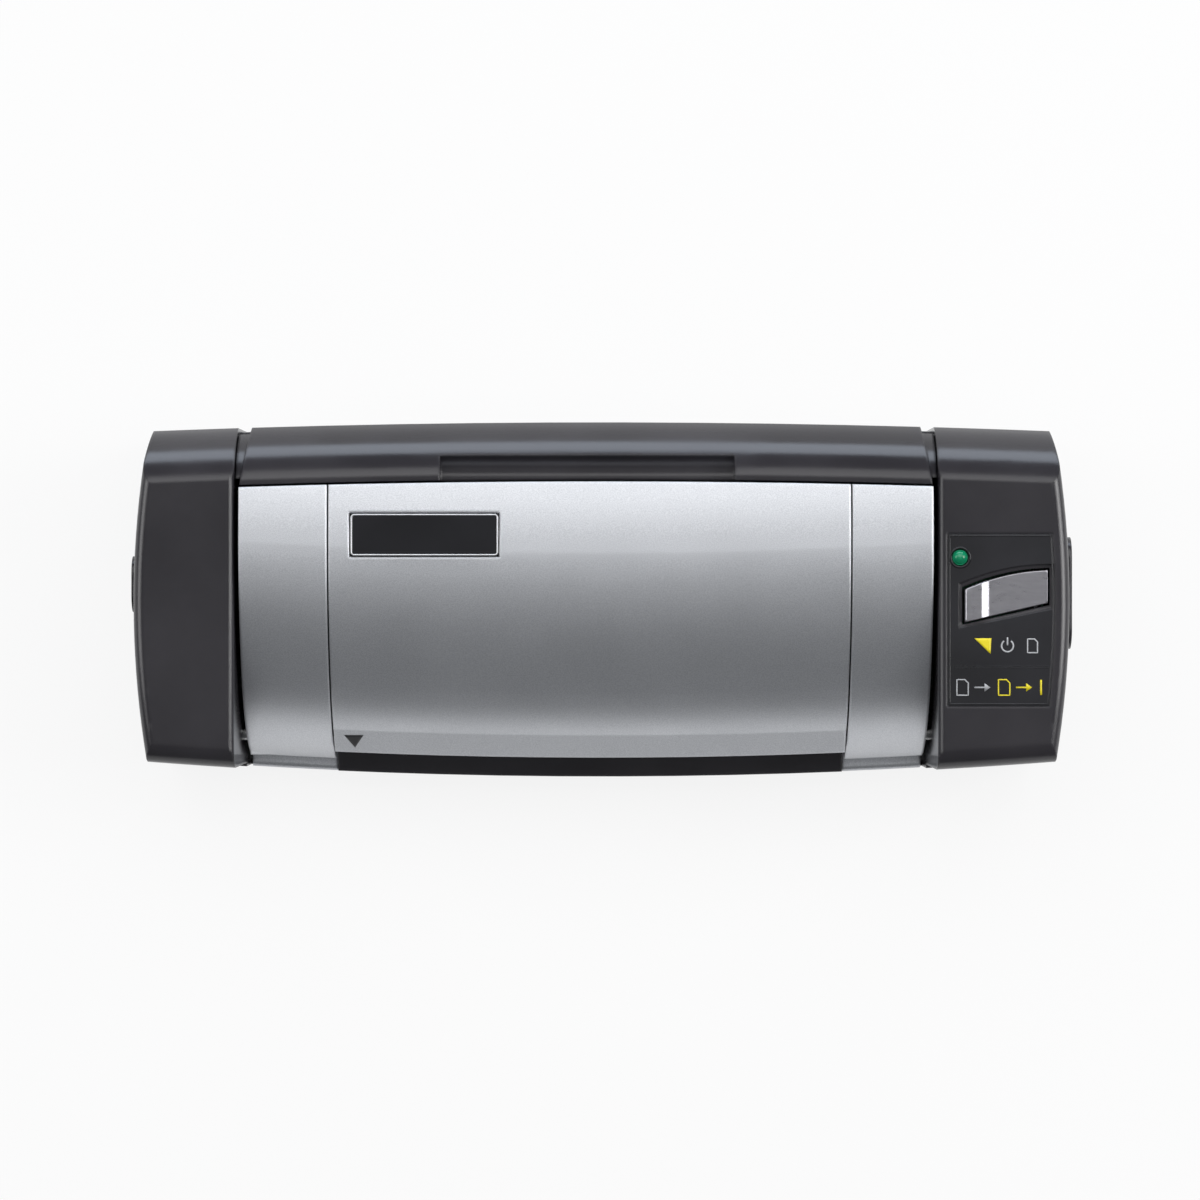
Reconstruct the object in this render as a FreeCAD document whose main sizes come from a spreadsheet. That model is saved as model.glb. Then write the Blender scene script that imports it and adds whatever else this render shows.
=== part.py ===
import FreeCAD, Part
import math
import os
import re

import Sketcher

# A small sheet-fed scanner for cards and A6 sheets, lying on its rubber feet. X runs to the
# right, Y to the rear and Z up, in millimetres; the origin is the middle of its footprint.
# The sheet goes in at the front, between two line sensors, and straight out at the rear.
# A silver lid turns up about pins in its two front knuckles, between two tall end caps.

doc = FreeCAD.newDocument("scanner")
sheet = doc.addObject("Spreadsheet::Sheet", "sheet")

# Driving dimensions, in millimetres, degrees and counts
SIZES = {
    # Housing
    "panel_width": 111.0,           # middle lid panel, a little wider than an A6 sheet
    "left_wing_width": 18.85,
    "right_wing_width": 17.3,
    "side_gap": 1.0,                # lid to end cap
    "left_cap_width": 21.45,
    "right_cap_width": 28.0,
    "body_top": 50.0,
    "foot_height": 1.5,
    "front_depth": 38.5,            # middle of the front arc, seen from above
    "rear_depth": 38.5,
    "crease_reach": 1.2,            # flat top behind the lid, before it turns down
    "front_arc_radius": 1270.0,
    "rear_arc_radius": 2440.0,
    "side_arc_radius": 205.0,
    "parting_height": 16.0,         # base below, caps and rear bridge above
    "wall": 2.0,
    "cap_setback": 0.8,             # cap front behind the lip's front
    "cap_front_round": 5.0,
    "cap_side_round": 2.6,
    "cap_inner_round": 1.5,
    "rear_round_radius": 20.0,
    "rear_round_foot": 38.0,        # height where the rear rounding meets the rear wall
    "fit": 0.1,                     # between pieces that are pushed together
    # Lid
    "crown_y": 10.4,
    "crown_radius": 54.0,
    "front_radius": 37.5,
    "blend_angle": 34.0,            # where the crown arc hands over to the front arc
    "rear_fall_radius": 133.0,      # nearly flat stretch behind the crown
    "skin": 1.6,
    "seam": 0.35,                   # groove between the middle panel and the wings
    "lid_rear": 25.5,
    "lip_crease_y": -28.8,
    "lip_edge_y": -33.8,
    "lip_edge_z": 27.0,
    "plate_x": -53.3,               # name plate, lower left corner seen from above
    "plate_y": 9.6,
    "plate_width": 31.6,
    "plate_depth": 9.2,
    "plate_thick": 1.0,
    "frame_margin": 0.4,            # lid frame inside the edges of its skins
    "shelf_z": 33.0,
    "shelf_front": -21.0,
    "shelf_window_x": 25.0,
    "shelf_window_width": 16.0,
    "shelf_window_front": -7.0,
    "shelf_window_rear": -4.0,
    "mouth_rear": -26.0,
    "lid_post_front_y": -10.5,
    "lid_post_rear_y": 13.5,
    "screw_length": 7.0,
    "lid_screw_length": 6.0,
    "hinge_y": -28.8,
    "hinge_z": 17.0,
    "knuckle_radius": 4.7,
    "hinge_pin": 3.0,               # diameter
    "pin_length": 10.0,
    "running_fit": 0.05,            # radial, pin or shaft in its bore
    "toe_top": 12.0,
    "toe_skin": 1.4,
    # Finger scoop in the rear bridge
    "scoop_width": 62.5,
    "scoop_centre_x": -3.0,
    "scoop_reach": 5.6,
    "scoop_depth": 4.0,
    "bridge_gap": 0.5,              # lid to rear bridge
    "bridge_taper": 2.4,            # how much each end of the bridge draws in at the rear
    "groove_depth": 1.4,            # grooves between the rear strip and the caps
    "bridge_drop": 1.0,             # bridge top below the caps' tops
    "scoop_floor": 0.8,             # flat floor of the scoop before it rises
    "boss_diameter": 7.0,
    "toe_round": 1.2,
    # Paper path
    "paper_z": 20.0,
    "slot_top": 24.0,
    "guide": 1.5,
    "guide_drop": 0.5,              # bed below the sheet, upper guide above it
    "upper_lift": 0.9,
    "lip_front_z": 12.5,
    "lip_top_z": 19.2,
    "bed_front": -28.2,
    "deck_rear": -23.0,
    "toe_ledge": 4.5,              # depth of the toe seen from above
    "bed_rear_inset": 4.5,
    "toe_lift": 0.8,
    "post_side": 7.0,
    "post_front_y": -23.5,
    "post_rear_inset": 8.0,
    "post_diameter": 5.0,
    "screw_shank": 2.2,
    "screw_head": 4.0,
    "screw_sink": 1.0,
    # Shafts and rollers
    "drive_y": -17.0,
    "exit_y": 18.0,
    "shaft_z": 15.0,
    "shaft_diameter": 4.0,
    "shaft_clearance": 0.8,
    "roller_diameter": 10.0,
    "roller_length": 18.0,
    "roller_x": 30.0,               # rollers either side of the middle
    "pinch_diameter": 8.0,
    "nip": 0.3,                     # pinch roller above the drive roller
    "pinch_axle": 2.0,
    "stem_x": 41.0,
    "stem_diameter": 1.6,
    "stem_past": 1.0,               # stem above the shelf
    "pinch_inset": 1.0,             # pinch wheel inside the ends of its roller
    "flare_start": -21.5,
    "flare_end": -29.2,
    "flare_z": 25.0,
    # Line sensors
    "sensor_length": 118.0,
    "sensor_depth": 14.0,
    "sensor_height": 9.7,
    "sensor_stem_x": 40.0,
    "upper_sensor_y": 4.6,
    "lower_sensor_y": -2.6,
    # Paper flag
    "flag_x": -10.0,
    "flag_y": -22.8,
    "flag_width": 3.0,
    "flag_pivot_z": 14.2,
    "flag_tip_z": 22.3,
    "flag_tail": 4.5,
    "flag_axle": 1.6,
    "flag_axle_past": 0.3,
    "flag_arm": 1.2,
    "flag_blade": 1.0,
    "flag_blade_depth": 1.8,
    "flag_hub": 3.5,
    "flag_ear": 1.5,
    "flag_ear_gap": 0.8,
    "flag_room_front": 1.5,
    "flag_room_rear": 5.0,
    "fork_width": 5.2,
    "fork_depth": 4.0,
    "fork_overlap": 2.0,
    "fork_slit": 2.0,
    "fork_slit_depth": 3.2,
    "sensor_gap": 0.3,              # each sensor's glass from the sheet's plane
    "window_gap": 0.5,              # round the sensors and the flag
    "roller_gap": 0.6,
    "glass_end": 1.5,
    "glass_side": 1.0,
    "lens_end": 4.0,
    "lens_slot": 2.2,
    "board_end": 2.0,
    "board_side": 1.5,
    "board_side_gap": 1.0,          # sensor board inside its channel's back
    "cradle_x": 47.0,
    "glass": 1.0,
    # Side plates, gears and motor
    "plate": 1.2,
    "plate_gap": 1.2,
    "gear_room": 6.4,               # right cap's inner wall to the gear plate
    "plate_front_y": -24.0,
    "plate_rear_y": 27.0,
    "left_plate_top": 24.0,
    "right_plate_top": 40.0,
    "plate_foot": 7.0,
    "bush_diameter": 7.0,
    "bush_length": 3.0,
    "shaft_overhang": 2.0,
    "module": 0.5,
    "roller_gear_teeth": 30,
    "idler_teeth": 44,
    "small_teeth": 22,
    "big_teeth": 34,
    "pinion_teeth": 12,
    "gear_width": 2.4,
    "gear_step": 0.2,               # between the two planes of gears
    "gear_pin": 2.0,
    "pin_overhang": 0.5,
    "gear_clearance": 1.0,
    "tooth_tip": 0.85,               # in modules past the pitch circle
    "tooth_root": 1.15,
    "flank_angle": 20.0,
    "tooth_share": 0.4,             # of a tooth's pitch; the rest is gap and play
    "reduction_angle": 110.0,       # from the drive shaft to the reduction gear
    "motor_angle": 8.0,             # from the reduction gear to the motor
    "motor_diameter": 20.0,
    "motor_length": 13.0,
    "motor_ear": 14.8,
    "ear_screw_inset": 2.0,
    "motor_shaft_end": 3.0,         # shaft short of the back of the motor
    "flange": 1.0,
    "leaf_reach": 5.0,
    "leaf_width": 3.4,
    "leaf_thick": 0.3,
    # Controls on the right cap
    "button_left": 76.8,
    "button_right": 94.5,
    "button_left_low": -4.4,
    "button_left_high": 2.7,
    "button_right_low": -0.3,
    "button_right_high": 6.8,
    "button_arc_radius": 45.0,
    "button_thick": 3.2,
    "button_proud": 0.4,
    "button_gap": 0.4,
    "well_margin": 1.1,
    "well_depth": 0.7,
    "pivot": 1.6,                   # diameter
    "pivot_inset": 2.0,              # pivot inside the button's outer edge
    "pivot_z": 45.4,
    "ear_thick": 1.5,
    "ear_reach": 1.9,
    "plunger_diameter": 3.0,
    "plunger_lift": 1.4,
    "switch_x": 79.8,
    "switch_y": -0.6,
    "switch_side": 6.0,
    "switch_height": 3.4,
    "lamp_x": 75.9,
    "lamp_y": 9.4,
    "lamp_diameter": 3.2,
    "overlay_inset": 3.4,
    "overlay_margin": 2.0,
    "overlay_front": -22.0,
    "overlay_rear": 14.4,
    "overlay_thick": 0.3,
    "control_post_x": 92.5,
    "control_board_front": -11.5,
    "control_board_rear": 14.0,
    "small_post": 3.6,
    "small_screw": 1.6,
    "small_screw_length": 5.0,
    "board_screw_length": 4.0,
    "small_head": 3.0,
    "small_head_height": 0.8,
    # Sides, boards, feet and screws
    "bump_proud": 1.1,
    "bump_z": 38.0,
    "right_bump_y": 1.9,
    "right_bump_length": 24.0,
    "right_bump_height": 9.0,
    "left_bump_length": 12.0,
    "left_bump_height": 7.4,
    "socket_y": 3.8,
    "socket_width": 7.7,
    "socket_height": 3.9,
    "socket_length": 9.0,
    "socket_sheet": 0.4,
    "socket_back": 1.5,
    "tongue": 1.2,
    "tongue_set": 1.0,
    "board_margin": 4.5,
    "board_gap": 1.0,               # board to the inner wall of its cap
    "board_front": -22.0,
    "board_rear": 24.0,
    "cap_post_side": 10.0,
    "cap_post_front_y": -27.5,
    "cap_post_inset": 7.5,          # rear post to the rear of the body
    "screw_head_height": 0.9,
    "foot_x": 86.0,
    "foot_y": 25.0,
    "foot_diameter": 9.0,
    "holder_gap": 0.6,
    "holder_overhang": 8.0,
    "holder_depth": 5.0,
    "board": 1.2,
    "motor_nose": 7.0,
    "motor_shaft": 1.5,
    "bed_wing_front": -23.4,
}


def fill_sheet(cells):
    """One row per size: its name in column A, its number in column B under that alias."""
    for row, (alias, number) in enumerate(cells.items(), start=1):
        sheet.set(f"A{row}", alias)
        sheet.set(f"B{row}", str(number))
        sheet.setAlias(f"B{row}", alias)


def words(text):
    """An expression in the sizes' plain names, with each name pointed at its cell."""
    def cell(hit):
        return f"sheet.{hit.group()}" if hit.group() in SIZES else hit.group()
    return re.sub(r"[a-z_]+", cell, str(text))


def value(text):
    """The number that an expression comes to."""
    result = sheet.evalExpression(words(text))
    return float(getattr(result, "Value", result))


def bind(target, path, text):
    target.setExpression(path, words(text))


def place(target, x, y, z):
    """Bind the three coordinates of an object's base point."""
    for axis, text in zip("xyz", (x, y, z)):
        bind(target, f"Placement.Base.{axis}", text)
    return target


def box(name, x, y, z):
    """A block between two expressions along each axis."""
    block = doc.addObject("Part::Box", name)
    for side, (low, high) in zip(("Length", "Width", "Height"), (x, y, z)):
        bind(block, side, f"({high}) - ({low})")
    return place(block, x[0], y[0], z[0])


TURNS = {
    "x": FreeCAD.Rotation(FreeCAD.Vector(0, 1, 0), 90),
    "y": FreeCAD.Rotation(FreeCAD.Vector(1, 0, 0), -90),
    "z": FreeCAD.Rotation(),
}


def rod(name, axis, start, length, diameter):
    """A cylinder that runs from its start point along an axis."""
    bar = doc.addObject("Part::Cylinder", name)
    bind(bar, "Radius", f"({diameter}) / 2")
    bind(bar, "Height", length)
    bar.Placement = FreeCAD.Placement(FreeCAD.Vector(), TURNS[axis])
    return place(bar, *start)


def joined(name, pieces):
    """One shape out of several that touch or overlap."""
    if len(pieces) == 1:
        return pieces[0]
    fuse = doc.addObject("Part::MultiFuse", name)
    fuse.Shapes = pieces
    fuse.Refine = True
    return fuse


def cut(name, base, tools):
    """The base without the tools."""
    result = doc.addObject("Part::Cut", name)
    result.Base = base
    result.Tool = joined(f"{name}_tools", tools)
    result.Refine = True
    return result


def shared(name, pieces):
    """The space that all the pieces share."""
    common = doc.addObject("Part::MultiCommon", name)
    common.Shapes = pieces
    return common


def group(name, pieces):
    """Separate solids kept together as one sub-part."""
    compound = doc.addObject("Part::Compound", name)
    compound.Links = pieces
    return compound


def arc_between(start, end, radius):
    """The short arc from start to end; a positive radius turns left on the way, a negative
    one right. Gives the geometry and which of its ends, 1 or 2, is the start."""
    middle = (start + end) * 0.5
    way = end - start
    rise = math.sqrt(radius ** 2 - (way.Length / 2) ** 2)
    side = 1 if radius > 0 else -1
    left = FreeCAD.Vector(-way.y, way.x, 0).normalize()
    centre = middle + left * rise * side
    first, last = (start, end) if radius > 0 else (end, start)
    angles = [math.atan2(point.y - centre.y, point.x - centre.x) for point in (first, last)]
    if angles[1] < angles[0]:
        angles[1] += 2 * math.pi
    circle = Part.Circle(centre, FreeCAD.Vector(0, 0, 1), abs(radius))
    return Part.ArcOfCircle(circle, *angles), 1 if radius > 0 else 2


def outline(body, plane, corners, across="0", out="0"):
    """A closed sketch through corners (u, v) on one of the body's planes, all expressions. A
    third entry is the radius of the arc that leads on from that corner."""
    sketch = body.newObject("Sketcher::SketchObject", f"{body.Name}_outline")
    support = next(item for item in body.Origin.OriginFeatures if item.Role == plane)
    sketch.AttachmentSupport = [(support, "")]
    sketch.MapMode = "FlatFace"
    bind(sketch, "AttachmentOffset.Base.x", across)
    bind(sketch, "AttachmentOffset.Base.z", out)
    points = [FreeCAD.Vector(value(corner[0]), value(corner[1]), 0) for corner in corners]
    ends = []
    for index, corner in enumerate(corners):
        start, end = points[index], points[(index + 1) % len(points)]
        if len(corner) == 3:
            edge, first = arc_between(start, end, value(corner[2]))
        else:
            edge, first = Part.LineSegment(start, end), 1
        sketch.addGeometry(edge, False)
        ends.append((first, 3 - first))
    for index, corner in enumerate(corners):
        following = (index + 1) % len(corners)
        first, last = ends[index]
        sketch.addConstraint(Sketcher.Constraint("Coincident", index, last, following, ends[following][0]))
        for kind, text in (("DistanceX", corner[0]), ("DistanceY", corner[1])):
            rule = sketch.addConstraint(Sketcher.Constraint(kind, -1, 1, index, first, value(text)))
            bind(sketch, f"Constraints[{rule}]", text)
        if len(corner) == 3:
            rule = sketch.addConstraint(Sketcher.Constraint("Radius", index, abs(value(corner[2]))))
            bind(sketch, f"Constraints[{rule}]", f"abs({corner[2]})")
    return sketch


def padded(name, plane, corners, start, length, flip=False):
    """A body whose outline is carried straight out from its plane."""
    body = doc.addObject("PartDesign::Body", name)
    sketch = outline(body, plane, corners, out=start)
    feature = body.newObject("PartDesign::Pad", f"{name}_pad")
    feature.Profile = sketch
    feature.Reversed = flip
    bind(feature, "Length", length)
    return body


def swung(name, plane, corners, centre, angle):
    """A body whose outline is turned about an upright axis far off, half the angle each way,
    so that its edges follow a long arc seen from above."""
    body = doc.addObject("PartDesign::Body", name)
    moved = [(f"({corner[0]}) - ({centre})", *corner[1:]) for corner in corners]
    sketch = outline(body, plane, moved, across=centre)
    feature = body.newObject("PartDesign::Revolution", f"{name}_turn")
    feature.Profile = sketch
    feature.ReferenceAxis = (sketch, ["V_Axis"])
    feature.Midplane = True
    bind(feature, "Angle", angle)
    return body


# Places along X that follow from the widths, left to right
BODY_WIDTH = ("(left_cap_width + right_cap_width + 2 * side_gap"
              " + left_wing_width + right_wing_width + panel_width)")
RIGHT_END = f"({BODY_WIDTH} / 2)"
LEFT_END = f"(-{RIGHT_END})"
LEFT_CAP = f"({LEFT_END} + left_cap_width)"
RIGHT_CAP = f"({RIGHT_END} - right_cap_width)"
LID_LEFT = f"({LEFT_CAP} + side_gap)"
LID_RIGHT = f"({RIGHT_CAP} - side_gap)"
SEAM_LEFT = f"({LID_LEFT} + left_wing_width)"
SEAM_RIGHT = f"({LID_RIGHT} - right_wing_width)"
MIDDLE = f"(({SEAM_LEFT} + {SEAM_RIGHT}) / 2)"

# The same places by side, and the way from each side towards the middle
INWARD = {"left": 1, "right": -1}
END = {"left": LEFT_END, "right": RIGHT_END}
CAP_FACE = {"left": LEFT_CAP, "right": RIGHT_CAP}
LID_EDGE = {"left": LID_LEFT, "right": LID_RIGHT}
SEAM = {"left": SEAM_LEFT, "right": SEAM_RIGHT}

# Upright axes that the front and rear arcs turn about
FRONT_AXIS = "(front_arc_radius - front_depth)"
REAR_AXIS = "(rear_depth - rear_arc_radius)"

FLOOR = "(foot_height + wall)"
BED_TOP = "(paper_z - guide_drop)"
BED_UNDER = f"({BED_TOP} - guide)"
UPPER_FACE = "(paper_z + upper_lift)"
DECK = "(toe_top - toe_skin)"
BRIDGE_FRONT = "(lid_rear + bridge_gap)"
REAR_CREASE = f"({BRIDGE_FRONT} + crease_reach)"
BED_REAR = "(rear_depth - bed_rear_inset)"
TOE_REAR = "(toe_ledge - front_depth)"
BRIDGE_TOP = "(body_top - bridge_drop)"

# Reach of the blocks past the body, and the angles they are swung over, before trimming
FAR = "60"
PAST = "1"                          # a cutter runs this far past the face that it opens
ARC_SWEEP = "13"
SIDE_SWEEP = "32"

parts = {}


def keep(label, piece):
    """Name a finished sub-part; its label names its file."""
    piece.Label = label
    parts[label] = piece
    return piece


def along(start, way, distance):
    """A place at a distance from another, towards higher or lower values."""
    return f"({start} + ({way}) * ({distance}))"


def between(way, first, last):
    """Two places in rising order, where way tells which of them is lower."""
    return (first, last) if way > 0 else (last, first)


def side_wall(name, side, inset):
    """The space inside one side's long arc and its rounded top edge."""
    way = INWARD[side]
    edge_round = f"(cap_side_round - ({inset}))"
    face = along(END[side], way, inset)
    top = f"(body_top - ({inset}))"
    inner = along("0", way, f"{FAR} / 2")
    return swung(f"{name}_{side}", "XZ_Plane", [
        (face, "0"), (face, f"{top} - {edge_round}", f"({-way}) * {edge_round}"),
        (along(face, way, edge_round), top), (inner, top), (inner, "0")],
        along(END[side], way, "side_arc_radius"), SIDE_SWEEP)


def front_wall(name, inset, setback, nose):
    """The space behind the front arc, with a rounded top edge."""
    front = f"(-front_depth + ({setback}) + ({inset}))"
    top = f"(body_top - ({inset}))"
    return swung(f"{name}_front", "YZ_Plane", [
        (front, "0"), (front, f"{top} - ({nose})", f"-({nose})"), (f"{front} + ({nose})", top),
        (FAR, top), (FAR, "0")], FRONT_AXIS, ARC_SWEEP)


def rear_wall(name, inset, top, start):
    """The space before the rear arc: flat on top, a crease, then a long round to the rear."""
    rear = f"(rear_depth - ({inset}))"
    return swung(f"{name}_rear", "YZ_Plane", [
        (start, "0"), (start, top), (f"{REAR_CREASE} - ({inset}) / 2", top,
                                     f"-(rear_round_radius - ({inset}))"),
        (rear, "rear_round_foot"), (rear, "0")], REAR_AXIS, ARC_SWEEP)


def end_cap(side):
    """One tall black end cap, open below, with a boss for its hinge pin."""
    way = INWARD[side]
    face = CAP_FACE[side]
    far_side = along(END[side], -way, PAST)
    slab = padded(f"{side}_cap_slab", "XZ_Plane", [
        (far_side, "parting_height"), (face, "parting_height"),
        (face, "body_top - cap_inner_round", f"({way}) * cap_inner_round"),
        (along(face, -way, "cap_inner_round"), "body_top"), (far_side, "body_top")],
        f"-{FAR}", f"2 * {FAR}")
    inner_face = along(face, -way, "wall")
    hollow = box(f"{side}_cap_hollow", between(way, far_side, inner_face), (f"-{FAR}", FAR),
                 ("0", "body_top - wall"))
    solid = shared(f"{side}_cap_solid", [
        front_wall(f"{side}_cap", "0", "cap_setback", "cap_front_round"),
        rear_wall(f"{side}_cap", "0", "body_top", f"-{FAR}"), side_wall(f"{side}_cap", side, "0"), slab])
    cavity = shared(f"{side}_cap_cavity", [
        front_wall(f"{side}_cap_in", "wall", "cap_setback", "cap_front_round - wall"),
        rear_wall(f"{side}_cap_in", "wall", "body_top - wall", f"-{FAR}"),
        side_wall(f"{side}_cap_in", side, "wall"), hollow])
    shell = cut(f"{side}_cap_shell", solid, [cavity])
    boss_end = along(face, -way, "pin_length / 2")
    low, high = between(-way, inner_face, boss_end)
    boss = rod(f"{side}_pin_boss", "x", (low, "hinge_y", "hinge_z"), f"({high}) - ({low})", "boss_diameter")
    lined = joined(f"{side}_cap_lined", [shell, boss])
    tools = [rod(f"{side}_pin_hole", "x", (between(-way, face, boss_end)[0], "hinge_y", "hinge_z"),
                 "pin_length / 2", "hinge_pin"),
             box(f"{side}_boss_trim", between(-way, along(face, way, PAST), along(boss_end, -way, PAST)),
                 ("hinge_y - boss_diameter", "hinge_y + boss_diameter"), ("0", "parting_height"))]
    notch = "(shaft_diameter / 2 + shaft_clearance)"
    for row in ("drive_y", "exit_y"):
        tools.append(box(f"{side}_{row}_notch",
                         between(-way, along(face, way, "fit"), along(inner_face, -way, "fit")),
                         (f"{row} - {notch}", f"{row} + {notch}"), ("0", f"shaft_z + {notch}")))
    return lined, tools, solid


def rear_bridge():
    """The fixed black strip behind the lid, over the sheet's exit, with its finger scoop."""
    def section(name, inset, under, crease):
        front = f"({BRIDGE_FRONT} + ({inset}))"
        rear = f"(rear_depth - ({inset}))"
        top = f"({BRIDGE_TOP} - ({inset}))"
        return swung(name, "YZ_Plane", [
            (front, under), (front, top), (crease, top, f"-(rear_round_radius - ({inset}))"),
            (rear, "rear_round_foot"), (rear, under)], REAR_AXIS, ARC_SWEEP)

    def scoop(name, inset):
        low = f"({BRIDGE_TOP} - scoop_depth - ({inset}))"
        half = f"(scoop_width / 2 + ({inset}))"
        reach = f"({BRIDGE_FRONT} + scoop_reach + ({inset}))"
        return padded(name, "YZ_Plane", [
            ("0", FAR), ("0", low), (f"{BRIDGE_FRONT} + scoop_floor", low, f"scoop_depth + ({inset})"),
            (reach, f"{BRIDGE_TOP}"), (reach, FAR)],
            f"scoop_centre_x - {half}", f"2 * {half}")

    def ends(name, inset):
        front, rear = (f"{BRIDGE_FRONT} - 2 * {PAST}", f"rear_depth + 2 * {PAST}")
        left = f"({LEFT_CAP} + side_gap + ({inset}))"
        right = f"({RIGHT_CAP} - side_gap - ({inset}))"
        return padded(name, "XY_Plane", [
            (left, front), (right, front), (f"{right} - bridge_taper", rear),
            (f"{left} + bridge_taper", rear)],
            f"parting_height - ({inset})", "body_top")

    outer = shared("bridge_outer", [section("bridge_section", "0", "parting_height", REAR_CREASE),
                                    ends("bridge_ends", "0")])
    edges = (f"{LEFT_CAP} + 2 * fit", f"{RIGHT_CAP} - 2 * fit")
    shoulder = shared("bridge_shoulder", [
        section("bridge_shoulder_section", "groove_depth", "parting_height",
                f"({BRIDGE_FRONT} + groove_depth + 2 * fit)"),
        box("bridge_shoulder_block", edges, ("0", FAR), ("parting_height", FAR))])
    room = shared("bridge_room", [section("bridge_room_section", "wall", "0",
                                          f"({BRIDGE_FRONT} + wall + 2 * fit)"),
                                          ends("bridge_room_ends", "wall")])
    cavity = cut("bridge_cavity", room, [scoop("scoop_block", "wall")])
    slot = box("exit_slot", (f"{SEAM_LEFT} + fit", f"{SEAM_RIGHT} - fit"), ("0", FAR), ("0", "slot_top"))
    keep("rear_bridge", cut("rear_bridge_cut", joined("bridge_body", [outer, shoulder]),
                            [cavity, slot, scoop("scoop", "0")]))
    guide = swung("exit_guide_plate", "YZ_Plane", [
        (f"{BRIDGE_FRONT} + wall + fit", "slot_top"), ("rear_depth - wall - fit", "slot_top"),
        ("rear_depth - wall - fit", "slot_top + guide"),
        (f"{BRIDGE_FRONT} + wall + fit", "slot_top + guide")],
        REAR_AXIS, ARC_SWEEP)
    trim = box("exit_guide_trim", (f"{SEAM_LEFT} + 2 * fit", f"{SEAM_RIGHT} - 2 * fit"), ("0", FAR),
               ("0", FAR))
    keep("exit_guide", shared("exit_guide_shape", [guide, trim]))



def plan_block(name, inset, low, height):
    """A block whose plan is the body's: four long arcs, drawn in by an inset."""
    front_edge = f"({FRONT_AXIS} - sqrt(front_arc_radius ^ 2 - {RIGHT_END} ^ 2))"
    corner_x = f"({RIGHT_END} - side_arc_radius + sqrt(side_arc_radius ^ 2 - {front_edge} ^ 2))"
    front = f"({FRONT_AXIS} - sqrt(front_arc_radius ^ 2 - {corner_x} ^ 2) + ({inset}))"
    rear = f"({REAR_AXIS} + sqrt(rear_arc_radius ^ 2 - {corner_x} ^ 2) - ({inset}))"
    side = f"({corner_x} - ({inset}))"
    return padded(name, "XY_Plane", [
        (f"-{side}", front, f"front_arc_radius - ({inset})"), (side, front, f"side_arc_radius - ({inset})"),
        (side, rear, f"rear_arc_radius - ({inset})"), (f"-{side}", rear, f"side_arc_radius - ({inset})")],
        low, height)


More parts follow.
